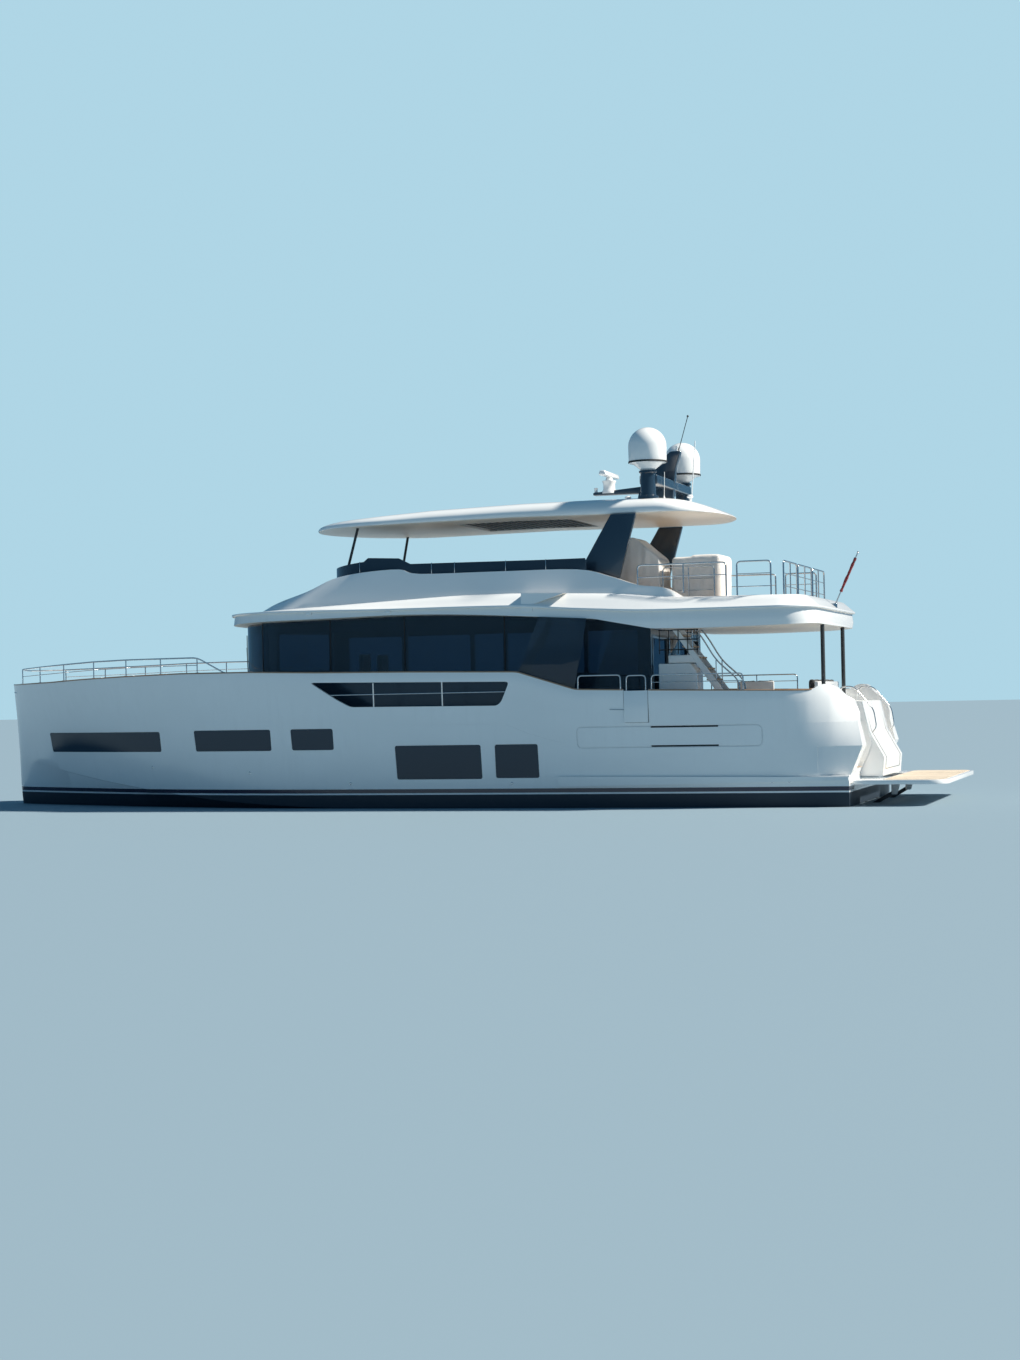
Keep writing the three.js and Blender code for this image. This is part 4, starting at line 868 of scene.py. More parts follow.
# %% [markdown]
# The bulwark carries the topsides up past the deck. Its top follows the sheer, sampled over a short length so
# that its corners are soft. A faint crease runs below the top, and above it the wall leans inboard, which
# catches a little more light. The skin is one closed ring of points for each place along the boat.

# %% Bulwarks
SHEER = [
    (13.0, 3.28), (12.25, 3.27), (10.6, 3.30), (9.4, 3.35), (8.0, 3.39), (6.2, 3.425), (4.2, 3.415),
    (2.4, 3.365), (0.0, 3.33), (-2.84, 3.27), (-4.28, 2.82), (-6.2, 2.77), (-9.4, 2.70), (-9.85, 2.70),
    (-10.02, 2.83), (-10.28, 2.825), (-10.51, 2.57), (-10.80, 2.41), (-10.83, 1.951), (-11.0, 1.951),
]
SHEER_SOFTENING, BULWARK_THICK = 0.09, 0.09
QUARTER_X, QUARTER_Y = -9.45, 2.36
OPENING = [(2.55, 3.12), (-2.64, 3.04), (-2.42, 2.56), (-2.30, 2.47), (1.50, 2.50), (1.87, 2.69)]
GATE_X = (-6.05, -5.45)


def on_line(line, x):
    for (x0, z0), (x1, z1) in zip(line, line[1:]):
        if x1 <= x <= x0:
            return z0 + (z1 - z0) * (x - x0) / (x1 - x0)
    return line[-1][1] if x < line[-1][0] else line[0][1]


def softened(line, reach=0.5):
    """The line's height at x, averaged over a short length so that it has no corners."""
    return lambda x: sum(on_line(line, x + reach * k / 3) for k in range(-3, 4)) / 7


sheer = softened(SHEER, SHEER_SOFTENING)


def crease_drop(x):
    """How far the crease runs below the top, which is more toward the bow."""
    return 0.20 + 0.10 * min(max((x - 6) / 6, 0), 1)


def bulwark_face(x, z):
    """Outer face, with the lean above the crease."""
    top, drop = sheer(x), crease_drop(x)
    lean = 0.022 * min(max((z - top + drop) / drop, 0), 1)
    return max(half_beam(x, z) - (lean if top - SIDE_DECK_Z > 0.5 else 0), 0.004)


def bulwark_ring(x):
    foot = DECK_Z if x > DECK_STEP_X else SIDE_DECK_Z
    top = sheer(x)
    crease = max(top - crease_drop(x), foot + (top - foot) * 0.5)
    heights = [foot + (crease - foot) * k / 6 for k in range(7)] + [crease + (top - crease) * k / 2 for k in (1, 2)]
    outer = [(x, bulwark_face(x, z), z) for z in heights]
    inner = []
    for z in reversed(heights):
        y = half_beam(x, z) - BULWARK_THICK
        inner.append((x, max(min(y, QUARTER_Y) if x < QUARTER_X else y, 0.002), z))
    return [*outer, *inner, outer[0]]


def bulwark_columns():
    places = {round(BULWARK_AFT_X + 0.23 * k, 3) for k in range(104)}
    for x, _ in SHEER[:-1]:
        places |= {round(x + step, 3) for step in (-0.09, -0.06, -0.03, 0, 0.03, 0.06, 0.09)}
    places |= {QUARTER_X - 0.0005, QUARTER_X + 0.0005, DECK_STEP_X - 0.0005, DECK_STEP_X + 0.0005}
    places |= {BULWARK_AFT_X, -10.8, 12.6, 12.7, 12.78, STEM_X}
    return sorted(x for x in places if BULWARK_AFT_X <= x <= STEM_X)


def make_bulwark():
    wall = closed(skin(bulwark_columns(), bulwark_ring))
    return cut(wall, side_solid(rounded_path(OPENING, 0.10), 2, 4), block(GATE_X, (2, 4), (2.01, 4)))


for side, sign in SIDES:
    wall = on_side(make_bulwark(), sign)
    finish_piece(wall, f"bulwark_moulding_{side}", "gelcoat", instead=[f"bulwark_{side}"], crease=26)

# %% [markdown]
# The superstructure is seen in the photograph as stacked plan shapes: a half-ellipse forward and straight sides
# behind it. One function gives that outline, and another lofts a solid through several of them. Lines seen from
# the side are smoothed through a few measured points.

# %% Plan outlines
def quarter_arc(x, y, radius, start, steps=8):
    turns = [start + math.pi / 2 * k / steps for k in range(steps + 1)]
    return [(x + radius * math.cos(t), y + radius * math.sin(t)) for t in turns]


def plan_outline(half_width, aft_x, ellipse_x, reach, corner=0.0, inset=0.0, steps=44, stops=()):
    """A half-ellipse forward, straight sides with a point at each stop, and rounded corners aft."""
    half, aft = half_width - inset, aft_x + inset
    turns = [math.pi * (k / steps - 0.5) for k in range(steps + 1)]
    points = [(ellipse_x + (reach - inset) * math.cos(t), half * math.sin(t)) for t in turns]
    points += [(x, half) for x in stops]
    if corner == 0:
        points += [(aft, half), (aft, -half)]
    else:
        reach_in = max(corner - inset, 0.02)
        points += quarter_arc(aft + reach_in, half - reach_in, reach_in, math.pi / 2)
        points += quarter_arc(aft + reach_in, reach_in - half, reach_in, math.pi)
    return points + [(x, -half) for x in reversed(stops)]


def half_width_at(x, half_width, ellipse_x, reach):
    """Half the width of such an outline at x."""
    past = max(x - ellipse_x, 0) / reach
    return half_width * math.sqrt(max(1 - past * past, 0))


def stacked(rings):
    """A solid through plan outlines, each with its height at x."""
    rows = [[(x, y, height(x)) for x, y in outline] for outline, height in rings]
    return closed(skin([row + row[:1] for row in rows], lambda row: row))


def level(z):
    return lambda x: z


def smooth_line(points, steps=6):
    """A smooth curve through points in a side view."""
    line = []
    for i in range(len(points) - 1):
        p0, p1, p2, p3 = (Vector(points[min(max(k, 0), len(points) - 1)]) for k in range(i - 1, i + 3))
        for k in range(steps):
            t = k / steps
            line.append(tuple(
                0.5 * (2 * p1 + (p2 - p0) * t + (2 * p0 - 5 * p1 + 4 * p2 - p3) * t * t
                       + (3 * p1 - p0 - 3 * p2 + p3) * t ** 3)
            ))
    return [*line, tuple(points[-1])]


HOUSE = {"half_width": 2.6, "aft_x": -5.93, "ellipse_x": 3.0, "reach": 2.557, "steps": 72}
print("plan outline points:", len(plan_outline(2, -4, 1, 1, 0.5)))

# %% [markdown]
# The overhang is lofted between plan outlines at several heights, which gives the lip, the tucked fascia under it
# and the sloping crown above. Then it is trimmed from the side, and the wells of the flybridge are cut into it.

# %% Flybridge deck
FLY_DECK = {"half_width": 3.40, "aft_x": -9.98, "ellipse_x": 3.40, "reach": 2.396, "corner": 0.9,
            "stops": [3.0 - 0.4 * k for k in range(30)]}
FLY_FLOOR_Z, CROWN_INSET = 4.87, 0.32
FLY_WELL = {"half_width": 2.62, "ellipse_x": 1.0, "reach": 1.5}
UNDERSIDE = [
    (6.3, 4.64), (4.67, 4.66), (2.2, 4.70), (0.2, 4.73), (-1.8, 4.67), (-4.7, 4.49), (-6.1, 4.22), (-7.3, 4.20),
    (-9.3, 4.225), (-10.2, 4.28),
]
LIP = [(7, 4.90), (2.8, 4.90), (0.5, 4.87), (-1.4, 4.87), (-3.0, 4.855), (-3.9, 4.765), (-5.9, 4.65), (-10.2, 4.65)]
CROWN_HEAD = [
    (7, 4.90), (4.5, 4.92), (2.9, 4.99), (0.6, 5.09), (-1.3, 5.17), (-2.9, 5.17), (-3.9, 5.13), (-5.3, 5.08),
    (-6.7, 4.945), (-8.7, 4.935), (-10.2, 4.92),
]
STAIR_WELL = ((-7.25, -6.05), (1.75, 2.51))


def underside():
    return smooth_line(UNDERSIDE[:6]) + smooth_line(UNDERSIDE[6:], 3)


def make_fly_deck():
    lip, head = softened(LIP), softened(CROWN_HEAD)

    def between(share, rise=0.0):
        return lambda x: lip(x) + (head(x) - lip(x)) * share + rise

    heights = [
        # inset, height
        (0.10, level(4.0)), (0.075, level(4.28)), (0.05, between(0, -0.26)), (0.075, between(0, -0.085)),
        (0.075, between(0, -0.040)), (0.012, between(0, -0.032)), (0.0, between(0, -0.015)),
        (0.004, between(0, 0.015)), (0.03, between(0.12)), (0.17, between(0.55)),
        (CROWN_INSET - 0.03, between(0.93)), (CROWN_INSET + 0.03, head), (0.9, between(1, 0.02)),
    ]
    rings = [(plan_outline(**FLY_DECK, inset=inset), height) for inset, height in heights]
    deck = common(stacked(rings), side_solid([*underside(), (-10.2, 6), (6.3, 6)]))
    fairing = [(-2.93, 4.70), (-2.93, 5.15), (-3.99, 5.12), (-3.24, 4.88), (-3.20, 4.70)]
    for low, high in ((3.0, 3.36), (-3.36, -3.0)):
        deck = join(deck, side_solid(fairing, low, high))
    well = plan_solid(plan_outline(**FLY_WELL, aft_x=-6.8), FLY_FLOOR_Z, 6)
    aft = {**FLY_DECK, "ellipse_x": -6.5, "reach": 0.4, "stops": ()}
    open_deck = plan_solid(plan_outline(**aft, inset=CROWN_INSET + 0.05), FLY_FLOOR_Z, 6)
    return cut(deck, well, open_deck, block(*STAIR_WELL, (4, 6)))


finish_piece(make_fly_deck(), "overhang_moulding", "gelcoat", instead=["flybridge_deck"], crease=30)

# %% [markdown]
# The coaming is the sloping wall round the flybridge. Two outlines, a wide one at its foot and a narrow one
# above, give the slope, and a smooth line drawn from the side trims its top.

# %% Coaming
COAMING = {"half_width": 3.08, "aft_x": -6.85, "ellipse_x": 2.6, "reach": 2.5, "corner": 0.5}
COAMING_TOP = {"half_width": 2.83, "aft_x": -6.85, "ellipse_x": 1.0, "reach": 2.157, "corner": 0.5}
COAMING_LINE = [
    (6.0, 4.96), (5.0, 4.99), (3.9, 5.20), (2.95, 5.41), (2.2, 5.70), (1.32, 5.83), (0.37, 5.87), (-0.17, 5.74),
    (-2.2, 5.725), (-4.2, 5.70), (-5.0, 5.51), (-5.72, 5.27), (-6.33, 5.19), (-6.67, 5.02), (-6.84, 4.89),
]


def coaming_outline(share):
    """From the outline of the foot, at share 0, to the one of the top."""
    return plan_outline(**{key: foot + (COAMING_TOP[key] - foot) * share for key, foot in COAMING.items()})


def make_coaming():
    rings = [(coaming_outline(0), level(4.80))]
    rings += [(coaming_outline(k / 6), level(4.95 + 1.05 * k / 6)) for k in range(7)]
    top = smooth_line(COAMING_LINE, 4)
    wall = common(stacked(rings), side_solid([*top, (-6.84, 4.86), (6.0, 4.86)]))
    return cut(wall, plan_solid(plan_outline(**FLY_WELL, aft_x=-7.0), 4, 7))


finish_piece(round_edges(make_coaming(), 0.02, 2, 35), "coaming_moulding", "gelcoat",
             instead=["flybridge_coaming"], crease=30)

# %% [markdown]
# The low screen is a strip of dark glass on the coaming. Its height changes along the boat, so its plan strip is
# trimmed by another line from the side, and what stands on the coaming is kept by cutting with a copy of it.

# %% Flybridge screen
SCREEN_TOP = [
    (3.2, 6.0), (2.1, 6.05), (1.35, 6.10), (1.22, 6.19), (0.4, 6.15), (0.1, 6.0), (-3.2, 5.97), (-4.38, 5.97),
]
SCREEN = {"half_width": 2.80, "ellipse_x": 1.0, "reach": 1.90}


def make_screen():
    outer = plan_solid(plan_outline(**SCREEN, aft_x=-4.4), 5.0, 7)
    strip = cut(outer, plan_solid(plan_outline(2.77, -4.9, 1.0, 1.87), 4.9, 7.1))
    foot = [(x, z + 0.002) for x, z in smooth_line(COAMING_LINE, 4)]
    return common(strip, side_solid([*SCREEN_TOP, *reversed([p for p in foot if -4.5 < p[0] < 3.3])]))


finish_piece(make_screen(), "flybridge_wind_screen", "dark_glass", instead=["flybridge_screen"], crease=30)

# %% [markdown]
# The hardtop is a thin aerofoil from the side, and in plan a long oval. It is a skin through sections across the
# boat, each with a crisp lower lip and a crowned back. A pocket in its underside holds the slats of the opening
# roof.

# %% Hardtop
HARDTOP = {"half": 2.35, "forward_x": 1.0, "reach": 2.54, "aft_x": -6.2, "aft_reach": 1.2}
HARDTOP_TOP = [
    (3.54, 7.06), (3.52, 7.15), (3.14, 7.20), (2.4, 7.245), (1.5, 7.29), (-0.2, 7.39), (-2.6, 7.45), (-4.4, 7.455),
    (-5.9, 7.44), (-6.3, 7.41), (-6.75, 7.33), (-7.1, 7.21), (-7.4, 7.06),
]
HARDTOP_UNDER = [(3.54, 7.04), (1.5, 7.02), (-2.2, 7.06), (-4.7, 7.03), (-6.9, 7.035), (-7.4, 7.045)]
HARDTOP_BACK = [(1.6, 0.05), (0.8, 0.16), (0.35, 0.34), (0.08, 0.56)]  # lips in from the edge, thicknesses down
HARDTOP_EDGE = [(0, 0.30), (0, 0.10), (0.05, 0.03), (0.12, 0)]  # lips in from the edge, thicknesses up
LOUVRE = ((-3.6, -0.6), (-1.3, 1.3))
FRONT_POST = [(2.23, 1.93, 5.60), (1.88, 1.77, 7.06)]


def hardtop_half(x):
    if x > HARDTOP["forward_x"]:
        half = half_width_at(x, HARDTOP["half"], HARDTOP["forward_x"], HARDTOP["reach"])
    else:
        half = half_width_at(-x, HARDTOP["half"], -HARDTOP["aft_x"], HARDTOP["aft_reach"])
    return max(half, 0.02)


def hardtop_section(x):
    top, under, half = on_line(HARDTOP_TOP, x), on_line(HARDTOP_UNDER, x), hardtop_half(x)
    lip, thick = min(0.30, half * 0.5), top - under
    shoulder = (half - 3 * lip, top - 0.01 * thick) if half > 1.2 else (half * 0.3, top)
    back = [(half - lips * lip, top - share * thick) for lips, share in HARDTOP_BACK]
    edge = [(half - lips * lip, under + share * thick) for lips, share in HARDTOP_EDGE]
    side = [(x, y, z) for y, z in [(0, top), shoulder, *back, *edge, (0, under)]]
    return [*side, *[(x, -y, z) for _, y, z in reversed(side[1:-1])], side[0]]


def make_hardtop():
    places = {round(-7.2 + 0.2 * k, 3) for k in range(54)} | {-7.395, -7.38, -7.34, -7.28, 3.535, 3.52, 3.48}
    reach, forward_x = HARDTOP["reach"], HARDTOP["forward_x"]
    places |= {round(forward_x + reach * math.sin(math.pi / 2 * k / 12), 3) for k in range(12)}
    return cut(closed(skin(sorted(places), hardtop_section)), block(*LOUVRE, (6.9, 7.13)))


finish_piece(make_hardtop(), "hardtop_moulding", "gelcoat", instead=["hardtop"], crease=36)

# %% [markdown]
# Satellite domes are turned shapes: a drum with a half-sphere on it, a cone below and a dark joint ring. The
# radar is a bar on a round gearbox. The turned gearbox stays on the mast and only the bar turns.

# %% Domes and radar
DOME_X, DOME_Y, DOME_Z, DOME_R, DRUM = -5.72, 1.78, 8.29, 0.465, 0.39


def band(radius, z_low, z_high, thick, place):
    """A thin ring round an upright axis."""
    profile = [(radius, z_low), (radius + thick, z_low), (radius + thick, z_high), (radius, z_high), (radius, z_low)]
    return closed(skin(full_turn(48), lambda turn: [
        (place[0] + r * math.cos(turn), place[1] + r * math.sin(turn), place[2] + z) for r, z in profile]))


def dome_profile():
    cone = [(0.0, -0.20), (0.17, -0.20), (0.20, -0.16), (0.36, -0.035), (0.45, -0.02)]
    turns = [math.pi / 2 * k / 14 for k in range(1, 14)]
    cap = [(DOME_R * math.cos(turn), DRUM + DOME_R * math.sin(turn)) for turn in turns]
    return [*cone, (DOME_R - 0.005, 0.0), (DOME_R, DRUM), *cap, (0.0, DRUM + DOME_R)]


for side, sign in SIDES:
    place = (DOME_X, sign * DOME_Y, DOME_Z)
    finish_piece(turned(dome_profile(), 48, place), f"dome_shell_{side}", "gelcoat",
                 instead=[f"satellite_dome_{side}"], crease=40)
    finish_piece(band(DOME_R - 0.006, -0.012, 0.03, 0.012, place), f"dome_band_{side}", "rubber")

RADAR = Vector((-4.25, 0, 8.0804))
scanner_bar = [(-0.09, 0.09), (-0.088, 0.15), (-0.06, 0.208), (0.06, 0.208), (0.088, 0.15), (0.09, 0.09)]
bar = carried([(RADAR.x + x, -0.648, RADAR.z + z) for x, z in scanner_bar], (0, 1.296, 0))
hub = turned([(0, 0.0), (0.09, 0.0), (0.085, 0.05), (0.06, 0.10), (0, 0.10)], 32, RADAR)
finish_piece(together(round_edges(bar, 0.02, 3, 20), hub), "radar_array", "gelcoat", body="radar_scanner",
             instead=["radar_scanner"])

# %% [markdown]
# CAD nodes whose shape is right keep it. A copy of the node's mesh is merged, its flat faces are dissolved, and
# its hard edges get a small round, because no real edge is perfectly sharp and the round catches the light. The
# engines are plain blocks and only get their finish.

# %% Nodes that keep their form
NODE_MERGE = 5e-5
DRESSED = [
    # node, finish, edge round
    ("wing_glass_port", "glass", 0.003),
    ("wing_glass_starboard", "glass", 0.003),
    ("aft_bulkhead", "navy", 0.006),
    ("arch_leg_port", "navy", 0.025),
    ("arch_leg_starboard", "navy", 0.025),
    ("helm_console", "graphite", 0.03),
    ("flybridge_console", "graphite", 0.03),
    ("engine_room_hatch", "teak", 0.004),
]
MOVING = [
    # node and body, finish, edge round, slot
    ("boarding_gate_port", "gelcoat", 0.012, "gelcoat"),
    ("boarding_gate_starboard", "gelcoat", 0.012, "gelcoat"),
    ("stern_gate_port", "gelcoat", 0.012, "gelcoat"),
    ("stern_gate_starboard", "gelcoat", 0.012, "gelcoat"),
    ("swim_platform", "gelcoat", 0.014, "teak"),
    ("platform_arms", "graphite", 0.008, "stainless"),
    ("saloon_door", "glass", 0.004, "glass"),
    ("foredeck_hatch", "dark_glass", 0.008, "glass"),
]


def dressed(node, finish, width, body="yacht", slot=None):
    bm = bmesh.new()
    bm.from_mesh(nodes[node].data)
    bmesh.ops.remove_doubles(bm, verts=bm.verts, dist=NODE_MERGE)
    bmesh.ops.dissolve_limit(bm, angle_limit=math.radians(1), verts=bm.verts, edges=bm.edges)
    if width:
        round_edges(bm, width)
    finish_piece(bm, f"{node}_finished", finish, body=body, instead=[node], slot=slot)


for node, finish, width in DRESSED:
    dressed(node, finish, width)
for node, finish, width, slot in MOVING:
    dressed(node, finish, width, body=node, slot=slot)
for side, _ in SIDES:
    engine_finishes = nodes[f"engine_{side}"].data.materials
    engine_finishes.clear()
    engine_finishes.append(FINISH["engine_enamel"])

# %% [markdown]
# A piece may need a second finish on some of its faces: the downward faces under the roofs get a warmer, darker copy
# of the white, which is painted shade and painted warm bounce light. The faces are picked by where they are and which
# way they face.

# %% Second finishes
def paint(name, finish, test):
    mesh = made[name].data
    mesh.materials.append(FINISH[finish])
    picked = [face for face in mesh.polygons if test(face.center, face.normal)]
    for face in picked:
        face.material_index = len(mesh.materials) - 1
    print(name, finish, "on", len(picked), "faces")


# Painted shade: the downward faces of the overhang and the hardtop get the warmer, darker white.
for name in ("overhang_moulding", "hardtop_moulding"):
    paint(name, "underside_painted_shade", lambda centre, normal: normal.z < -0.8)
paint("hull_moulding", "nonskid", lambda centre, normal: normal.z > 0.95 and centre.z > 0.65)

# %% [markdown]
# A dark varnished cap runs along the top of the bulwark and stops at the boarding gates. It is one skin whose
# section follows the sheer.

# %% Cap rails
GATE_GAP, CAP_FORWARD_X, CAP_AFT_X = (-6.06, -5.44), 12.77, -9.86
CAP_WIDTH, CAP_LAP = 0.118, 0.014


def cap_ring(x):
    top = sheer(x)
    outer = bulwark_face(x, top) + CAP_LAP
    inner = max(outer - CAP_WIDTH, 0.003)
    profile = [
        (outer - 0.006, -0.014), (outer, -0.006), (outer, 0.008), (outer - 0.012, 0.018), (inner + 0.012, 0.018),
        (inner, 0.008), (inner, -0.006), (inner + 0.006, -0.014),
    ]
    return [(x, y, top + z) for y, z in [*profile, profile[0]]]


def make_cap():
    places = [x for x in bulwark_columns() if CAP_AFT_X < x < CAP_FORWARD_X]
    forward = [GATE_GAP[1], *(x for x in places if x > GATE_GAP[1] + 0.01)]
    aft = [*(x for x in places if x < GATE_GAP[0] - 0.01), GATE_GAP[0]]
    return together(*(closed(skin(run, cap_ring)) for run in (forward, aft)))


for side, sign in SIDES:
    finish_piece(on_side(make_cap(), sign), f"cap_rail_{side}", "varnish")

# %% [markdown]
# The weather decks are laid in teak on the moulded deck. Each sheet is 6 mm thick and ends a hand's width from
# the bulwark, where the white waterway shows.

# %% Teak decks
LAID = 0.006


def deck_sheet(places, inner, outer, z):
    def ring(x):
        y0, y1 = inner(x), outer(x)
        return [(x, y0, z), (x, y1, z), (x, y1, z + LAID), (x, y0, z + LAID), (x, y0, z)]

    return closed(skin(places, ring))


def whole_deck(places, z):
    """A sheet from waterway to waterway."""
    return deck_sheet(places, lambda x: -waterway(z)(x), waterway(z), z)


def spaced(start, end, step):
    count = max(round(abs(end - start) / step), 1)
    return [start + (end - start) * k / count for k in range(count + 1)]


def waterway(z):
    return lambda x: half_beam(x, z) - 0.21


def house_side(x):
    return half_width_at(x, HOUSE["half_width"], HOUSE["ellipse_x"], HOUSE["reach"]) + 0.04


side_decks = []
for start, end, z in ((-5.86, -3.56, SIDE_DECK_Z), (-3.44, 5.5, DECK_Z)):
    side_decks += both_sides(lambda: deck_sheet(spaced(start, end, 0.2), house_side, waterway(z), z))
foredeck = cut(whole_deck(spaced(5.505, 12.2, 0.2), DECK_Z), block((9.86, 10.54), (-0.34, 0.34), (2, 3)))
finish_piece(together(foredeck, *side_decks), "teak_decks", "teak")

sole = whole_deck(spaced(-9.42, -5.99, 0.2), SIDE_DECK_Z)
sole = cut(sole, block((-8.364, -6.086), (-2.044, 2.044), (1.9, 2.1)))
aft_sole = block((-9.74, -9.42), (-2.3, 2.3), (SIDE_DECK_Z, SIDE_DECK_Z + LAID))
treads = []
for i in range(STEP_COUNT):
    z = SIDE_DECK_Z - STEP_RISE * (i + 1)
    for y in (1.94, -1.94):
        treads.append(block((-9.99 - STEP_RUN * i, -9.77 - STEP_RUN * i), (y - 0.36, y + 0.36), (z, z + LAID)))
finish_piece(together(sole, aft_sole, *treads), "cockpit_teak", "teak")
hatch_teak = block((-8.354, -6.096), (-2.034, 2.034), (SIDE_DECK_Z, SIDE_DECK_Z + LAID))
finish_piece(round_edges(hatch_teak, 0.002), "engine_hatch_teak", "teak")

well_floor = plan_solid(plan_outline(2.58, -6.95, 1.0, 1.46), FLY_FLOOR_Z, FLY_FLOOR_Z + LAID)
aft_floor = plan_solid(rounded_path([(-6.9, -2.96), (-6.9, 2.96), (-9.52, 2.96), (-9.52, -2.96)], 0.5),
                       FLY_FLOOR_Z, FLY_FLOOR_Z + LAID)
fly_floor = cut(join(well_floor, aft_floor), block(*STAIR_WELL, (4, 6)))
finish_piece(fly_floor, "flybridge_teak", "teak")
platform_teak = plan_solid(rounded_path([(-11.36, 2.85), (-12.77, 2.85), (-12.77, -2.85), (-11.36, -2.85)], 0.38),
                           0.6, 0.6 + LAID)
finish_piece(platform_teak, "platform_teak", "platform_teak", body="swim_platform")

# %% [markdown]
# Rails are round bars of polished steel. A frame is one bar that goes up, turns and comes down, with thinner bars
# inside it, and a flange under each foot. The bends come from rounding the corners of the bar's path.

# %% Rails
def flange(foot, radius=0.045, thick=0.008):
    return turned([(0, 0), (radius, 0), (radius, thick * 0.6), (radius * 0.8, thick), (0, thick)], 20, foot)


def rail_frame(start, end, top, bars=(), posts=(), radius=0.019, bend=0.10):
    """A bar up from start, along at the height top, and down to end, with bars and posts inside."""
    start, end = Vector(start), Vector(end)
    high = [Vector((point.x, point.y, top)) for point in (start, end)]
    parts = [tube(filleted([start, *high, end], bend, 6), radius, 12), flange(start), flange(end)]
    for z in bars:
        parts.append(tube([Vector((p.x, p.y, z)) for p in (start, end)], radius * 0.6, 8))
    for share in posts:
        foot = start.lerp(end, share)
        parts += [tube([foot, (foot.x, foot.y, top)], radius * 0.85, 10), flange(foot)]
    return parts


def cap_top(x):
    return (x, bulwark_face(x, sheer(x)) - 0.05, sheer(x) + 0.017)


def bow_rail_parts():
    feet = [cap_top(x) for x in (4.95, 5.7, 6.8, 7.9, 9.0, 10.1, 11.1, 12.0)]
    tops = [(x, y, min(3.82, 3.67 + (12.25 - x) * 0.04)) for x, y, _ in feet]
    route = [feet[0], *tops[1:], (12.30, 0.52, 3.665), (12.42, 0.0, 3.66)]
    parts = [tube(filleted(route, 0.16, 6), 0.018, 10)]
    middle = [(x, y, (z + foot[2]) / 2) for (x, y, z), foot in zip(tops[1:], feet[1:])]
    parts.append(tube(filleted(middle, 0.1, 3), 0.009, 8))
    for foot, top in zip(feet[1:], tops[1:]):
        parts += [tube([foot, top], 0.015, 10), flange(foot)]
    return [*parts, flange(feet[0])]


bow_rail = together(*bow_rail_parts(), *(mirror_y(part) for part in bow_rail_parts()))
finish_piece(bow_rail, "bow_rail_bars", "stainless", instead=["bow_rail"])

RAIL_Z, FLY_RAIL_Y = 5.73, 2.98
FLY_FRAMES = [
    # start, end, bars, posts
    ((-5.72, FLY_RAIL_Y - 0.02, 5.24), (-7.86, FLY_RAIL_Y, FLY_FLOOR_Z), (5.44,), (0.52,)),
    ((-8.12, FLY_RAIL_Y, FLY_FLOOR_Z), (-8.92, FLY_RAIL_Y, FLY_FLOOR_Z), (5.14, 5.44), ()),
    ((-9.17, 2.72, FLY_FLOOR_Z), (-9.17, 1.05, FLY_FLOOR_Z), (5.14, 5.44), (0.5,)),
    ((-9.17, 0.90, FLY_FLOOR_Z), (-9.17, -0.90, FLY_FLOOR_Z), (5.14, 5.44), (0.5,)),
]


def fly_rail_parts(frames):
    return [part for start, end, bars, posts in frames for part in rail_frame(start, end, RAIL_Z, bars, posts)]


fly_rail = together(*fly_rail_parts(FLY_FRAMES), *(mirror_y(part) for part in fly_rail_parts(FLY_FRAMES[:3])))
finish_piece(fly_rail, "flybridge_rail_bars", "stainless", instead=["flybridge_rail"])

# %% [markdown]
# The rails on the bulwark and its gate, the bars in the slanted opening and the turned post under the overhang
# are the same on both sides. They are made for port and mirrored for starboard.

# %% Rails of each side
def opening_parts():
    def inside(x, z, at_z):
        return x, half_beam(x, at_z) - 0.045, z

    bars = [tube([inside(x, 2.80, 2.8) for x in spaced(2.03, -2.51, 0.3)], 0.013, 10)]
    bars += [tube([inside(x, 2.49, 2.8), inside(x, 3.08, 3.07)], 0.019, 10) for x in (0.88, -0.91)]
    return bars


def side_rails(side):
    """Name, parts, finish, body and replaced nodes of each piece."""
    gate_rail = rail_frame((-4.34, 3.475, 2.825), (-5.385, 3.475, 2.80), 3.14, radius=0.018)
    cockpit = rail_frame((-6.13, 3.46, 2.79), (-8.30, 3.39, 2.735), 3.12, (2.95,), (0.5,), radius=0.016)
    gate_top = rail_frame((-5.52, 3.458, 2.762), (-5.99, 3.458, 2.762), 3.12, radius=0.016)
    post = [tube([(-9.83, 1.44, 1.96), (-9.83, 1.44, 4.30)], 0.05, 20), flange((-9.83, 1.44, 1.955), 0.10, 0.014)]
    return [
        ("gate_rail_bars", gate_rail, "stainless", "yacht", [f"gate_rail_{side}"]),
        ("cockpit_rail_bars", cockpit, "stainless", "yacht", []),
        ("gate_top_bars", gate_top, "stainless", f"boarding_gate_{side}", []),
        ("bulwark_opening_bars", opening_parts(), "stainless", "yacht", [f"bulwark_rail_{side}"]),
        ("overhang_post_turned", post, "graphite", "yacht", [f"overhang_post_{side}"]),
    ]


for side, sign in SIDES:
    for name, parts, finish, body, instead in side_rails(side):
        whole = on_side(together(*parts), sign)
        finish_piece(whole, f"{name}_{side}", finish, body=body, instead=instead, slot="stainless")

# %% [markdown]
# The deckhouse is a wall behind flush glass. The wall is dark paint where the glass covers it, so that only the
# windows let light through, and white below the windshield. The glass is bonded outside it and bends round the
# bow end, which needs many narrow faces to look round.

# %% Deckhouse
SIDE_BAYS = [(-5.65, -4.35), (-4.25, -2.30), (-2.20, 0.30), (0.42, 2.30), (2.40, 3.90)]
GLASS_THICK, WALL_THICK, SILL_Z, PAINT_EDGE_Z = 0.014, 0.11, 3.05, 3.32


def under_overhang():
    return side_solid([*((x, z - 0.002) for x, z in underside()), (-10.2, 0), (6.3, 0)])


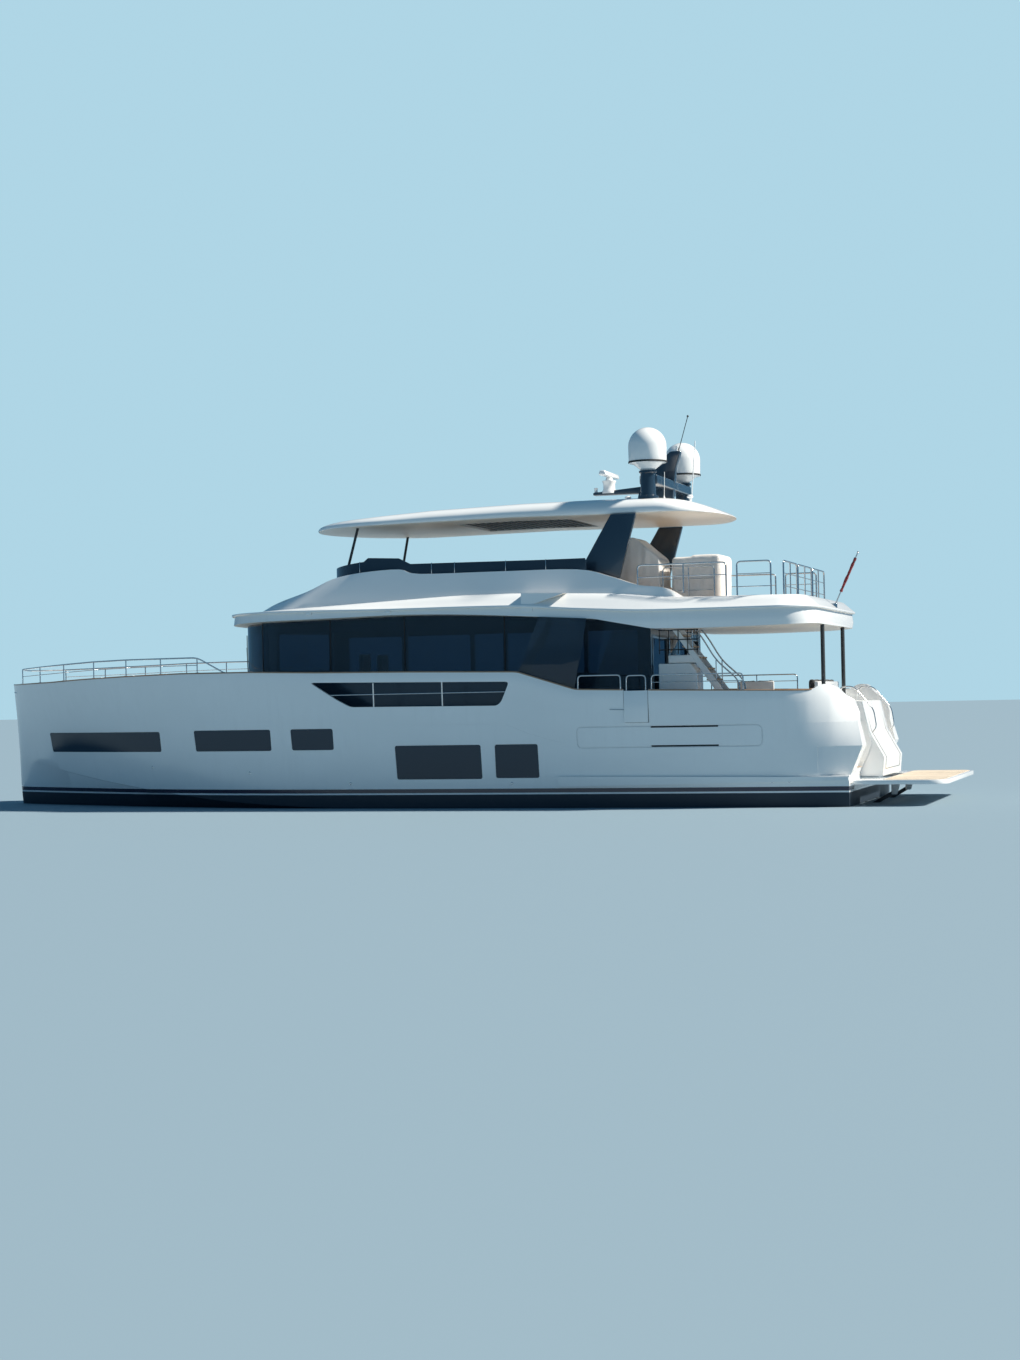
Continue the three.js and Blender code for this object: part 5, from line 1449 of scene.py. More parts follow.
def house_strip(outer_inset, inner_inset, low, high):
    outer = plan_solid(plan_outline(**HOUSE, inset=outer_inset), low, high)
    inner = {**HOUSE, "aft_x": HOUSE["aft_x"] - 1}
    return cut(outer, plan_solid(plan_outline(**inner, inset=inner_inset), low - 0.1, high + 0.1))


def rounded_box(x, z, radius=0.07):
    return rounded_path([(x[0], z[0]), (x[1], z[0]), (x[1], z[1]), (x[0], z[1])], radius)


def make_house():
    house = common(house_strip(GLASS_THICK + 0.001, WALL_THICK, 1.0, 5.0), under_overhang())
    stepped = [(6.3, DECK_Z), (DECK_STEP_X, DECK_Z), (DECK_STEP_X, SIDE_DECK_Z), (-8, SIDE_DECK_Z), (-8, 5), (6.3, 5)]
    house = common(house, side_solid(stepped))
    for bay in SIDE_BAYS:
        house = cut(house, side_solid(rounded_box(bay, (SILL_Z + 0.10, 4.38))))
    for y in (-1.55, 0, 1.55):
        opening = [(4.3, py, pz) for py, pz in rounded_box((y - 0.7, y + 0.7), (3.5, 4.48))]
        house = cut(house, carried(opening, (2.7, 0, 0)))
    everything = [*house.verts, *house.edges, *house.faces]
    edge = (0, 0, PAINT_EDGE_Z)
    bmesh.ops.bisect_plane(house, geom=everything, plane_co=edge, plane_no=(0, 0, 1), dist=SKIN_MERGE)
    return house


def white_front(centre, normal):
    return centre.x > 4.2 and centre.z < PAINT_EDGE_Z and normal.x > 0.1


finish_piece(make_house(), "deckhouse_walls", "navy", instead=["deckhouse"], crease=30)
paint("deckhouse_walls", "gelcoat", white_front)
beam = common(block((-5.90, -5.75), (-2.56, 2.56), (4.10, 4.23)), under_overhang())
finish_piece(beam, "deckhouse_roof_beam", "navy")

# %% [markdown]
# The glass of the house is one pane on each side and a rounded windshield. All three are trimmed by the underside
# of the overhang. Slim rubber bars cover the joints, and three wipers lie on the windshield.

# %% Glass of the deckhouse
SIDE_GLASS = [(4.2, 3.2), (4.2, 5.0), (-5.9, 5.0), (-5.9, 2.78), (-4.3, 2.90), (-2.8, 3.20)]
for side, sign in SIDES:
    pane = common(side_solid(SIDE_GLASS, 2.586, 2.6), under_overhang())
    finish_piece(on_side(pane, sign), f"side_glass_pane_{side}", "glass", instead=[f"side_glass_{side}"])
shield = common(house_strip(0, GLASS_THICK, 3.3, 5.0), block((4.2004, 7), (-4, 4), (3, 5)), under_overhang())
finish_piece(shield, "windshield_glass", "glass", instead=["windshield"], crease=30)


def side_bars():
    return [tube([(x, 2.604, 3.22), (x, 2.604, 4.70)], 0.012, 8) for x in (-2.25, 0.36, 2.35, 4.2)]


def shield_x(y):
    """Where the windshield's face is at y, with room for a bar on it."""
    return HOUSE["ellipse_x"] + HOUSE["reach"] * math.sqrt(1 - (y / HOUSE["half_width"]) ** 2) + 0.02


def wiper(y, tip_y):
    foot_x, tip_x = shield_x(y), shield_x(tip_y)
    arm = tube([(foot_x, y, 3.30), (foot_x + 0.03, y, 3.36), (tip_x + 0.02, tip_y, 4.10)], 0.012, 8)
    return arm, tube([(tip_x + 0.01, tip_y, 3.72), (tip_x + 0.01, tip_y, 4.42)], 0.010, 8)


bars = [*side_bars(), *(mirror_y(bar) for bar in side_bars())]
bars += [tube([(5.36, y, 3.32), (5.36, y, 4.64)], 0.014, 8) for y in (0.78, -0.78)]
wipers = [part for y in (-1.2, 0.3, 1.5) for part in wiper(y, y - 0.55)]
finish_piece(together(*bars, *wipers), "glazing_bars_and_wipers", "rubber")

# %% [markdown]
# The stairs to the flybridge have teak treads between two white cheeks, a locker under the upper ones, and a
# steel handrail that bends down at the foot. The rise of each tread follows from the heights of the two decks.

# %% Stairs
STAIR_Y, STAIR_FOOT_X, STAIR_HEAD_X, RISERS = (1.78, 2.48), -8.15, -6.05, 11
rise, run = (FLY_FLOOR_Z - SIDE_DECK_Z) / RISERS, (STAIR_HEAD_X - STAIR_FOOT_X) / RISERS


def make_treads():
    treads = []
    for i in range(1, RISERS):
        x, z = STAIR_FOOT_X + run * (i - 0.5), SIDE_DECK_Z + rise * i
        treads.append(round_edges(block((x, x + run * 1.35), (1.80, 2.46), (z - 0.04, z)), 0.010, 3))
    return together(*treads)


def make_cheeks():
    last = STAIR_HEAD_X - 0.012
    cheek = [
        (STAIR_FOOT_X, STAND_Z), (STAIR_FOOT_X + 0.16, STAND_Z), (last, 4.70), (last, 4.81), (last - 0.03, 4.81),
        (STAIR_FOOT_X, 2.06),
    ]
    cheeks = [side_solid(cheek, y, y + 0.03) for y in (STAIR_Y[0], STAIR_Y[1] - 0.03)]
    locker = side_solid([(last, STAND_Z), (last, 3.39), (-6.83, 3.39), (-6.99, 3.2), (-6.99, STAND_Z)], 1.79, 2.47)
    seams = [block((-6.83, -6.12), (2.462, 2.48), (z, z + 0.006)) for z in (2.02, 2.80, 3.32)]
    seams += [block((x, x + 0.006), (2.462, 2.48), (2.02, 3.32)) for x in (-6.83, -6.48, -6.126)]
    locker = cut(round_edges(locker, 0.02, 3), *seams)
    shelf = round_edges(block((-7.02, -6.30), (1.86, 2.475), (3.40, 3.59)), 0.03, 3)
    return together(*(round_edges(part, 0.006) for part in cheeks), locker, shelf)


side_guard = [tube([(x, 2.49, 3.62), (x, 2.49, 4.205)], 0.011, 8) for x in (-6.10, -6.33, -6.56, -6.79, -7.02)]
side_guard += [tube([(-6.08, 2.49, z), (-7.05, 2.49, z)], 0.013, 8) for z in (3.72, 3.96, 4.19)]
finish_piece(together(*side_guard), "stair_side_guard", "rubber")
handrail = []
for y in (1.80, 2.45):
    route = [(-8.02, y, 2.30), (-8.02, y, 2.95), (-7.46, y, 3.45), (-7.10, y, 4.05), (-6.62, y, 4.62)]
    handrail.append(tube(filleted(route, 0.22, 6), 0.018, 12))
    handrail += [tube([(x, y, z - 0.62), (x, y, z)], 0.013, 10) for x, z in ((-7.46, 3.45), (-6.9, 4.29))]
finish_piece(make_treads(), "stair_treads", "teak", instead=["flybridge_stairs"])
finish_piece(make_cheeks(), "stair_cheeks_and_locker", "gelcoat")
finish_piece(together(*handrail), "stair_handrails", "stainless")
head, foot = (-6.02, 1.70, FLY_FLOOR_Z), (-7.29, 1.70, FLY_FLOOR_Z)
guard = rail_frame(foot, head, RAIL_Z, (5.16, 5.44), (0.5,), radius=0.016)
finish_piece(together(*guard), "stair_opening_guard", "stainless")

# %% [markdown]
# The mast is a raked fin with a cross arm for the domes and a bracket for the radar. Each dome stands on a turned
# pedestal with bolted flanges, and thin whips and lamps are set round it.

# %% Mast and aerials
def make_mast():
    fin = [(-4.95, 7.38), (-5.05, 7.80), (-5.35, 8.15), (-5.85, 8.73), (-6.14, 8.73), (-6.00, 8.30), (-5.90, 7.38)]
    bracket = [(-3.85, 7.715), (-3.85, 7.785), (-5.2, 7.89), (-5.2, 7.71)]
    arm = [(-5.5, 7.76), (-5.5, 8.0), (-5.95, 8.0), (-5.95, 7.76)]
    parts = [
        round_edges(side_solid(rounded_path(fin, 0.06, 3), -0.09, 0.09), 0.025, 3, 60),
        round_edges(side_solid(bracket, -0.11, 0.11), 0.02, 3), round_edges(side_solid(arm, -1.78, 1.78), 0.04, 3),
    ]
    pedestal = [(0, 7.38), (0.25, 7.38), (0.25, 7.47), (0.20, 7.49), (0.185, 7.56), (0.185, 8.02), (0.22, 8.045),
                (0.22, 8.088), (0, 8.088)]
    bolt, bolt_reach, bolts = [(0, 0), (0.016, 0), (0.016, 0.014), (0, 0.018)], 0.215, 8
    for y in (DOME_Y, -DOME_Y):
        parts.append(turned(pedestal, 40, (DOME_X, y, 0)))
        for turn in full_turn(bolts)[:-1]:
            place = (DOME_X + bolt_reach * math.cos(turn), y + bolt_reach * math.sin(turn), 7.47)
            parts.append(turned(bolt, 6, place))
    return together(*parts)


finish_piece(make_mast(), "mast_and_arms", "navy", instead=["mast"])
gearbox = [
    (0, 7.755), (0.19, 7.755), (0.19, 7.80), (0.15, 7.86), (0.15, 8.0), (0.175, 8.05), (0.175, 8.078), (0, 8.078),
]
finish_piece(turned(gearbox, 40, (RADAR.x, 0, 0)), "radar_gearbox", "gelcoat")


def whip(foot, head, radius):
    foot, head = Vector(foot), Vector(head)
    base = turned([(0, 0), (0.03, 0), (0.03, 0.05), (radius, 0.12), (0, 0.12)], 16, foot)
    return together(tube([foot, head], radius, 8), base)


def ball(radius, place):
    bm = bmesh.new()
    bmesh.ops.create_icosphere(bm, subdivisions=3, radius=radius, matrix=Matrix.Translation(place))
    return bm


whips = [whip((-6.08, -1.15, 7.39), (-6.22, -1.15, 9.10), 0.012), whip((-5.98, 1.25, 7.41), (-6.0, 1.25, 8.1), 0.008)]
finish_piece(together(*whips), "white_whips", "gelcoat")
dark_whip = together(whip((-6.05, 0, 8.70), (-6.31, 0, 9.57), 0.010), ball(0.028, (-6.315, 0, 9.59)))
finish_piece(dark_whip, "dark_whip", "graphite")
mushroom = [(0, 0), (0.03, 0), (0.03, 0.07), (0.075, 0.09), (0.08, 0.12), (0.05, 0.155), (0, 0.165)]
small = [turned(mushroom, 24, (x, y, 7.42)) for x, y in ((-5.0, 1.0), (-5.0, -1.0), (-6.45, 0.5))]
lamp = [(0, 0), (0.05, 0), (0.05, 0.03), (0.04, 0.035), (0.04, 0.10), (0.05, 0.105), (0.05, 0.13), (0, 0.14)]
small += [turned(lamp, 24, (-6.02, 0, 8.725)), turned(lamp, 24, (-3.9, 0.0, 7.78))]
finish_piece(together(*small), "aerials_and_lamps", "gelcoat")

# %% [markdown]
# Slats close the roof opening like a blind. Each is a thin tilted board, and the row leaves dark gaps. Two slim
# posts carry the hardtop's forward end.

# %% Roof slats and posts
slats = []
for x in (-3.59 + 0.199 * k for k in range(15)):
    slats.append(side_solid([(x, 7.062), (x + 0.185, 7.092), (x + 0.185, 7.106), (x, 7.076)], -1.29, 1.29))
finish_piece(together(*slats), "roof_slats", "graphite")
front_posts = together(*both_sides(lambda: tube(FRONT_POST, 0.034, 16)))
finish_piece(front_posts, "hardtop_front_posts", "graphite", slot="stainless")

# %% [markdown]
# Cushions are sewn covers over foam, so they swell between their seams. Each starts as a rounded box of small
# voxels, and the cloth solver blows it up a little from inside with gravity off. How far a point may move is
# capped, the result is applied, and one subdivision smooths it.

# %% Helper for padded pieces
CUSHION_VOXEL, PRESSURE, SWELL_FRAMES = 0.03, 4.0, 20


def smoothed(bm):
    bmesh.ops.smooth_vert(bm, verts=bm.verts, factor=0.5, use_axis_x=True, use_axis_y=True, use_axis_z=True)
    return bm


def remeshed(bm, voxel):
    """An object with the shape's surface, in small even faces."""
    obj = new_object(bm, "remeshed")
    remesh = obj.modifiers.new("remesh", "REMESH")
    remesh.mode, remesh.voxel_size = "VOXEL", voxel
    bpy.context.view_layer.update()
    still = bpy.data.meshes.new_from_object(evaluated(obj))
    obj.modifiers.clear()
    obj.data = still
    return obj


def blow_up(obj, cap):
    """Cloth with pressure inside and no gravity. No point moves further than cap."""
    cloth = obj.modifiers.new("cloth", "CLOTH")
    cloth.settings.use_pressure = True
    cloth.settings.uniform_pressure_force = PRESSURE
    cloth.settings.effector_weights.gravity = 0
    cloth.point_cache.frame_start, cloth.point_cache.frame_end = 1, SWELL_FRAMES
    for number in range(1, SWELL_FRAMES + 1):
        bpy.context.scene.frame_set(number)
    moved = [vert.co.copy() for vert in evaluated(obj).to_mesh().vertices]
    obj.modifiers.clear()
    for vert, end in zip(obj.data.vertices, moved):
        step = end - vert.co
        vert.co += step * min(1, cap / max(step.length, 1e-9))
    bpy.context.scene.frame_set(1)


def swollen(bm, cap):
    obj = remeshed(bm, CUSHION_VOXEL)
    blow_up(obj, cap)
    result = bmesh.new()
    result.from_mesh(obj.data)
    bpy.data.objects.remove(obj)
    bmesh.ops.subdivide_edges(result, edges=result.edges, cuts=1, smooth=0.6, use_grid_fill=True)
    return smoothed(result)


def cushion(x, y, z):
    shrink = 0.012
    box = block((x[0] + shrink, x[1] - shrink), (y[0] + shrink, y[1] - shrink), (z[0], z[1] - shrink))
    return swollen(round_edges(box, 0.045, 4), 0.022)


def row_of(count, start, end, box):
    """Cushions side by side from start to end, 6 mm apart. In the box, None stands for that direction."""
    width = (end - start) / count
    spans = [(start + width * k + 0.003, start + width * (k + 1) - 0.003) for k in range(count)]
    return together(*(cushion(*(side or span for side in box)) for span in spans))


def padded(bm, name, finish, instead=()):
    obj = finish_piece(bm, name, finish, instead=instead, crease=60)


# %% [markdown]
# The settees are moulded bases with loose seat and back cushions, as on most boats. The bases keep the size of
# the CAD solids, and the cushions fill what the solids hold above them.

# %% Settees
SETTEES = [
    # name, CAD node, finish of the base and of the cushions, boxes of the base, cushions' row, seat, back
    ("cockpit_settee", "cockpit_sofa", "gelcoat", "dark_cloth",
     [((-9.60, -9.12), (-1.5, 1.4), (STAND_Z, 2.26)), ((-9.70, -9.602), (-1.5, 1.4), (STAND_Z, 2.90))],
     (4, -1.49, 1.39), ((-9.60, -9.105), None, (2.262, 2.40)), ((-9.598, -9.46), None, (2.41, 2.98))),
    ("cockpit_bench", "cockpit_bench", "gelcoat", "dark_cloth",
     [((-8.60, -7.70), (0.70, 1.198), (STAND_Z, 2.26)), ((-8.60, -7.70), (1.20, 1.26), (STAND_Z, 2.93))],
     (2, -8.59, -7.71), (None, (0.705, 1.19), (2.262, 2.40)), (None, (1.07, 1.198), (2.41, 2.98))),
    ("saloon_settee", "saloon_sofa", "varnish", "upholstery", [((-3.18, -0.92), (1.52, 2.45), (2.401, 2.70))],
     (3, -3.17, -0.93), (None, (1.51, 2.26), (2.702, 2.85)), (None, (2.27, 2.44), (2.702, 3.20))),
    ("flybridge_settee", "flybridge_sofa", "gelcoat", "upholstery", [((-3.40, -1.60), (-2.45, -0.90), (4.871, 5.14))],
     (2, -2.44, -0.91), ((-3.20, -1.61), None, (5.142, 5.30)), ((-3.39, -3.21), None, (5.142, 5.60))),
]
for name, node, hard, soft, boxes, row, seat, back in SETTEES:
    finish_piece(together(*(round_edges(block(*box), 0.02, 3) for box in boxes)), f"{name}_base", hard)
    padded(row_of(*row, seat), f"{name}_seats", soft, [node])
    padded(row_of(*row, back), f"{name}_backs", soft)

# %% [markdown]
# The foredeck has a row of sun pads with a rounded nose pad before it, and the helm has two seats. Their pads are
# made like the cushions, and the seats stand on turned columns.

# %% Sun pads and helm seats
padded(row_of(3, -1.39, 1.39, ((6.11, 8.35), None, (2.852, 2.985))), "foredeck_sun_pads", "upholstery",
       ["foredeck_pad"])
nose = plan_solid(plan_outline(1.36, 8.37, 8.4, 0.72, steps=16), 2.852, 2.97)
padded(swollen(round_edges(nose, 0.04, 3), 0.02), "foredeck_nose_pad", "upholstery")

seats = [cushion((2.28, 2.74), y, (2.96, 3.07)) for y in ((-0.94, -0.31), (0.31, 0.94))]
backs = [cushion((2.16, 2.29), y, (3.00, 3.89)) for y in ((-0.94, -0.31), (0.31, 0.94))]
padded(together(*seats, *backs), "helm_seat_pads", "upholstery", ["helm_seats"])
shells = [round_edges(block((2.15, 2.72), y, (2.86, 2.958)), 0.03, 3) for y in ((-0.95, -0.30), (0.30, 0.95))]
column = [(0, 2.401), (0.20, 2.401), (0.20, 2.43), (0.07, 2.46), (0.07, 2.87), (0, 2.87)]
columns = [turned(column, 32, (2.45, y, 0)) for y in (-0.62, 0.62)]
finish_piece(together(*shells, *columns), "helm_seat_frames", "graphite")

# %% [markdown]
# Fitted covers lie over the bar and the spare furniture. A cover takes the shape of what is under it, softened at
# the edges, and hangs in loose upright folds. The block is remeshed to small even faces, its sides are moved by a
# noise that is stretched upwards, and its underside is removed, because a cover is an open sheet.

# %% Fitted covers
COVER_VOXEL, COVER_CLOTH, FOLD_DEPTH = 0.028, 0.003, 0.022


def draped(bm, foot):
    obj = remeshed(bm, COVER_VOXEL)
    cover = bmesh.new()
    cover.from_mesh(obj.data)
    bpy.data.objects.remove(obj)
    smoothed(cover).normal_update()
    for vert in cover.verts:
        upright = 1 - abs(vert.normal.z)
        folds = noise.noise(Vector((vert.co.x * 7, vert.co.y * 7, vert.co.z * 1.2)))
        creases = noise.noise(vert.co * 3) * 0.5
        loose = upright * min((vert.co.z - foot) / 0.4, 1) * 0.4 + 0.6
        vert.co += vert.normal * (folds * upright + creases - 0.35) * FOLD_DEPTH * loose
    low = [face for face in cover.faces if face.calc_center_median().z < foot + 0.03]
    bmesh.ops.delete(cover, geom=low, context="FACES")
    return cover


def add_cover(name, solid, node):
    obj = finish_piece(draped(solid, FLY_FLOOR_Z), name, "cover_cloth", instead=[node], crease=60)
    thick = obj.modifiers.new("cloth", "SOLIDIFY")
    thick.thickness, thick.offset = COVER_CLOTH, -1


bar = [(-4.74, 4.90), (-4.85, 5.90), (-5.06, 6.44), (-5.18, 6.51), (-5.32, 6.50), (-5.93, 5.98), (-5.98, 4.90)]
bar = round_edges(side_solid(rounded_path(bar, 0.10, 4), 0.58, 1.67), 0.16, 5)
add_cover("bar_fitted_cover", bar, "bar_cover")
low_block = round_edges(block((-6.80, -6.20), (0.27, 1.62), (4.90, 5.99)), 0.09, 4)
tall_block = round_edges(block((-7.43, -6.66), (0.27, 1.62), (4.90, 6.03)), 0.11, 4)
add_cover("furniture_fitted_cover", join(low_block, tall_block), "furniture_cover")

# %% [markdown]
# The ensign is furled, as it is in the photograph. It is one long sheet rolled round the staff, so it is a grid
# whose points follow a spiral, a little slimmer where ties hold it. The staff stands in a socket on the crown.

# %% Ensign and staff
STAFF_FOOT, STAFF_HEAD, STAFF_R = Vector((-9.87, 0, 4.693)), Vector((-10.49, 0, 6.03)), 0.016
ROLL_SHARES, ROLL_TURNS, ROLL_R = (0.30, 0.90), 6, (0.019, 0.036)
TIES, ENSIGN_CLOTH = (0.12, 0.5, 0.88), 0.001
staff_along = (STAFF_HEAD - STAFF_FOOT).normalized()
staff_side = Vector((0, 1, 0))
staff_out = staff_along.cross(staff_side)


def roll_centre(share):
    return STAFF_FOOT.lerp(STAFF_HEAD, ROLL_SHARES[0] + (ROLL_SHARES[1] - ROLL_SHARES[0]) * share)


def round_staff(radius, angle):
    return radius * (math.cos(angle) * staff_side + math.sin(angle) * staff_out)


def roll_point(turn, share):
    """Point of the rolled cloth, where turn goes from 0 to 1 round and round and share goes up the staff."""
    waist = 1 - 0.28 * max(math.exp(-((share - tie) / 0.05) ** 2) for tie in TIES)
    gather = 1 + 0.14 * math.sin(2 * math.pi * (2.2 * share + 1.5 * turn)) * turn
    radius = ROLL_R[0] + (ROLL_R[1] * waist * gather - ROLL_R[0]) * turn
    angle = 2 * math.pi * ROLL_TURNS * turn
    sag = staff_along * (-0.03 * turn * math.sin(math.pi * turn))
    return roll_centre(share) + sag + round_staff(radius, angle)


turns = [k / 132 for k in range(133)]
roll = skin([k / 40 for k in range(41)], lambda share: [roll_point(turn, share) for turn in turns])
ensign = finish_piece(roll, "furled_ensign", "bunting", instead=["ensign"], crease=60)
ensign.modifiers.new("cloth", "SOLIDIFY").thickness = ENSIGN_CLOTH
ties = [tube([roll_centre(tie) + round_staff(0.031, t) for t in full_turn(24)], 0.004, 6, ends=False) for tie in TIES]
finish_piece(together(*ties), "ensign_ties", "rubber")
socket = round_edges(block((-9.95, -9.80), (-0.05, 0.05), (4.60, 4.80)), 0.015, 3)
sleeve = tube([STAFF_FOOT, STAFF_FOOT.lerp(STAFF_HEAD, 0.1)], 0.028, 16)
staff = together(tube([STAFF_FOOT, STAFF_HEAD], STAFF_R, 16), ball(0.026, STAFF_HEAD), sleeve, socket)
finish_piece(staff, "ensign_staff", "stainless", instead=["flagstaff"])

# %% [markdown]
# Below the waterline are the shafts, propellers, brackets and rudders. They keep the CAD's own forms with
# rounded edges. The logs the shafts come out of and the rudder bearings belong to the hull.

# %% Running gear
for side, _ in SIDES:
    for kind, width in (("propeller", 0.005), ("rudder", 0.008)):
        dressed(f"{kind}_{side}", "bronze", width, body=f"{kind}_{side}")
    dressed(f"shaft_bracket_{side}", "bronze", 0)

SHAFT_TILT = math.radians(11)
shaft_way = Vector((math.cos(SHAFT_TILT), 0, math.sin(SHAFT_TILT)))
gear = []
for y in (1.5, -1.5):
    start = Vector((-9.78, y, -1.2))
    gear.append(tube([start + shaft_way * 1.752, start + shaft_way * 3.25], 0.10, 24))
    gear.append(turned([(0, -0.598), (0.13, -0.598), (0.13, -0.3), (0, -0.3)], 32, (-10.33, y, 0)))
finish_piece(together(*gear), "shaft_logs_and_rudder_bearings", "hull_paint")

# %% [markdown]
# The deck has its working gear: a windlass on the foredeck with its two chains, mooring cleats, fairleads let into
# the bulwark, and handrails at the stern steps. Cast gear is a turned or bevelled form on a small base.

# %% Deck gear
def placed(bm, place, turn, axis):
    """The shape turned about an axis through the origin, then moved to its place."""
    bmesh.ops.transform(bm, matrix=Matrix.Translation(place) @ Matrix.Rotation(turn, 4, axis), verts=bm.verts)
    return bm


def cleat(place, turn):
    """A mooring cleat with two horns on two feet."""
    feet = [round_edges(block((x - 0.022, x + 0.022), (-0.022, 0.022), (0, 0.06)), 0.008) for x in (-0.05, 0.05)]
    base = round_edges(block((-0.10, 0.10), (-0.035, 0.035), (0, 0.012)), 0.005)
    horns = tube([(-0.16, 0, 0.095), (-0.07, 0, 0.072), (0.07, 0, 0.072), (0.16, 0, 0.095)], 0.019, 12)
    return placed(together(*feet, base, horns), place, turn, "Z")


cleats = []
for x, z, toe_in in ((10.9, DECK_Z, 18), (3.9, DECK_Z, 0), (-4.9, SIDE_DECK_Z, 0)):
    for _, sign in SIDES:
        cleats.append(cleat((x, sign * (half_beam(x, z) - 0.16), z), math.radians(-toe_in * sign)))
finish_piece(together(*cleats), "mooring_cleats", "stainless")

drum = [(0, 0), (0.13, 0), (0.13, 0.03), (0.085, 0.05), (0.085, 0.10), (0.14, 0.13), (0.14, 0.16), (0.06, 0.19),
        (0.055, 0.24), (0.10, 0.29), (0.10, 0.31), (0, 0.32)]
windlass = [turned(drum, 32, (11.25, y, DECK_Z + 0.02)) for y in (-0.28, 0.28)]
base = round_edges(block((11.0, 11.5), (-0.48, 0.48), (DECK_Z, DECK_Z + 0.025)), 0.01)
chains = []
for y in (-0.28, 0.28):
    route = [(11.25, y, DECK_Z + 0.19), (12.1, y * 0.8, DECK_Z + 0.14), (12.45, y * 0.35, DECK_Z + 0.10)]
    chains.append(tube(route, 0.02, 8))
finish_piece(together(*windlass, base, *chains), "windlass_and_chains", "stainless")

fairleads = []
for _, sign in SIDES:
    for x0, x1, z in ((12.63, 12.41, 3.06), (9.05, 8.75, 2.62)):
        line = [(x, sign * (half_beam(x, z) - 0.02), z) for x in (x0, (x0 + x1) / 2, x1)]
        upper = [(x, y, z + 0.10) for x, y, z in line]
        fairleads.append(tube([*line, *reversed(upper), line[0]], 0.016, 8))
finish_piece(together(*fairleads), "bow_fairleads", "stainless")


def step_rail(y):
    """A handrail down the side of the stern steps."""
    route = [
        (-10.15, y, 2.40), (-10.22, y, 2.76), (-10.55, y, 2.76), (-11.00, y, 2.22), (-11.06, y, 1.80),
        (-10.96, y, 1.66),
    ]
    return tube(filleted(route, 0.14, 6), 0.019, 12)


finish_piece(together(step_rail(1.45), step_rail(-1.45)), "stern_step_handrails", "stainless")

# %% [markdown]
# Small fittings make the size readable: lamps under the deck edge, posts that hold the screen, outlets and grips
# in the topsides. Each is tiny, so it is turned or bevelled and set into the surface behind it.

# %% Small fittings
lamps = []
for _, sign in SIDES:
    for x, y, z in ((0.50, 3.335, 4.80), (2.60, 3.335, 4.83)):
        lamp_box = round_edges(block((x - 0.07, x + 0.07), (y - 0.02, y + 0.055), (z - 0.035, z + 0.035)), 0.012, 3)
        lamps.append(on_side(lamp_box, sign))
finish_piece(together(*lamps), "side_lamps", "gelcoat")

posts = []
for _, sign in SIDES:
    for x in (1.467, -0.464, -1.063, -2.378, -3.40):
        across = sign * half_width_at(x, **SCREEN)
        span = (on_line(COAMING_LINE, x) - 0.01, on_line(SCREEN_TOP, x) + 0.012)
        posts.append(round_edges(block((x - 0.008, x + 0.008), (across - 0.020, across + 0.020), span), 0.005))
finish_piece(together(*posts), "wind_screen_posts", "stainless")

outlets, rim = [], [(0.018, 0), (0.034, 0), (0.034, 0.006), (0.018, 0.010), (0.018, 0)]
for x, z in ((-9.3, 0.60), (-8.9, 0.60), (-6.9, 0.62), (-2.6, 0.60), (1.6, 0.62), (4.4, 0.90), (7.4, 1.05)):
    for _, sign in SIDES:
        place = (x, sign * (half_beam(x, z) - 0.003), z)
        outlets.append(placed(turned(rim, 20), place, -sign * math.pi / 2, "X"))
finish_piece(together(*outlets), "topside_outlets", "stainless")

grips = []
for _, sign in SIDES:
    y = half_beam(-5.35, 2.33)
    inner, outer = sign * (y - 0.01), sign * (y + 0.012)
    route = [(-5.10, inner, 2.33), (-5.12, outer, 2.33), (-5.62, outer, 2.315), (-5.64, inner, 2.315)]
    grips.append(tube(filleted(route, 0.02, 3), 0.008, 8))
finish_piece(together(*grips), "topside_grips", "stainless")

# %% [markdown]
# On the transom two lugs hold the arms of the swim platform, and a locker between the steps shows its seams and
# two latches. The seams are thin dark cords that follow the block's face.

# %% Fittings of the stern
LUG = [(TRANSOM_X + 0.005, 0.02), (-10.88, -0.03), (-10.88, -0.17), (TRANSOM_X + 0.005, -0.22)]
lug_plates = [round_edges(side_solid(LUG, y, y + 0.06), 0.01) for y in (-0.90, 0.84)]
finish_piece(together(*lug_plates), "platform_arm_lugs", "graphite", slot="stainless")

stern_face = [(-10.745, 2.34), (-10.90, 1.70), (-11.24, 1.08), (-11.215, 0.80)]
seams = [tube([(x - 0.001, y, z) for x, z in stern_face], 0.006, 6) for y in (-1.15, 1.15)]
seams += [tube([(x - 0.001, -1.15, z), (x - 0.001, 1.15, z)], 0.006, 6) for x, z in (stern_face[0], stern_face[-1])]
finish_piece(together(*seams), "stern_locker_seams", "rubber")
latches = [round_edges(block((-11.075, -10.99), (y - 0.06, y + 0.06), (1.33, 1.39)), 0.012, 3) for y in (-0.8, 0.8)]
finish_piece(together(*latches), "stern_locker_latches", "stainless")

# %% [markdown]
# The cockpit table is a varnished top with rounded corners on two turned legs. The helm has a wheel, which is one
# ring and three spokes, and dark screens let into the console.

# %% Table and helms
top = plan_solid(rounded_path([(-8.49, -0.99), (-7.71, -0.99), (-7.71, 0.49), (-8.49, 0.49)], 0.12), 2.655, 2.70)
leg = [(0, 1.951), (0.17, 1.951), (0.17, 1.975), (0.05, 2.0), (0.045, 2.6), (0.12, 2.654), (0, 2.654)]
finish_piece(round_edges(top, 0.012, 3), "cockpit_table_top", "varnish", instead=["cockpit_table"])
legs = together(*(turned(leg, 32, (-8.1, y, 0)) for y in (-0.6, 0.1)))
finish_piece(legs, "cockpit_table_legs", "stainless")


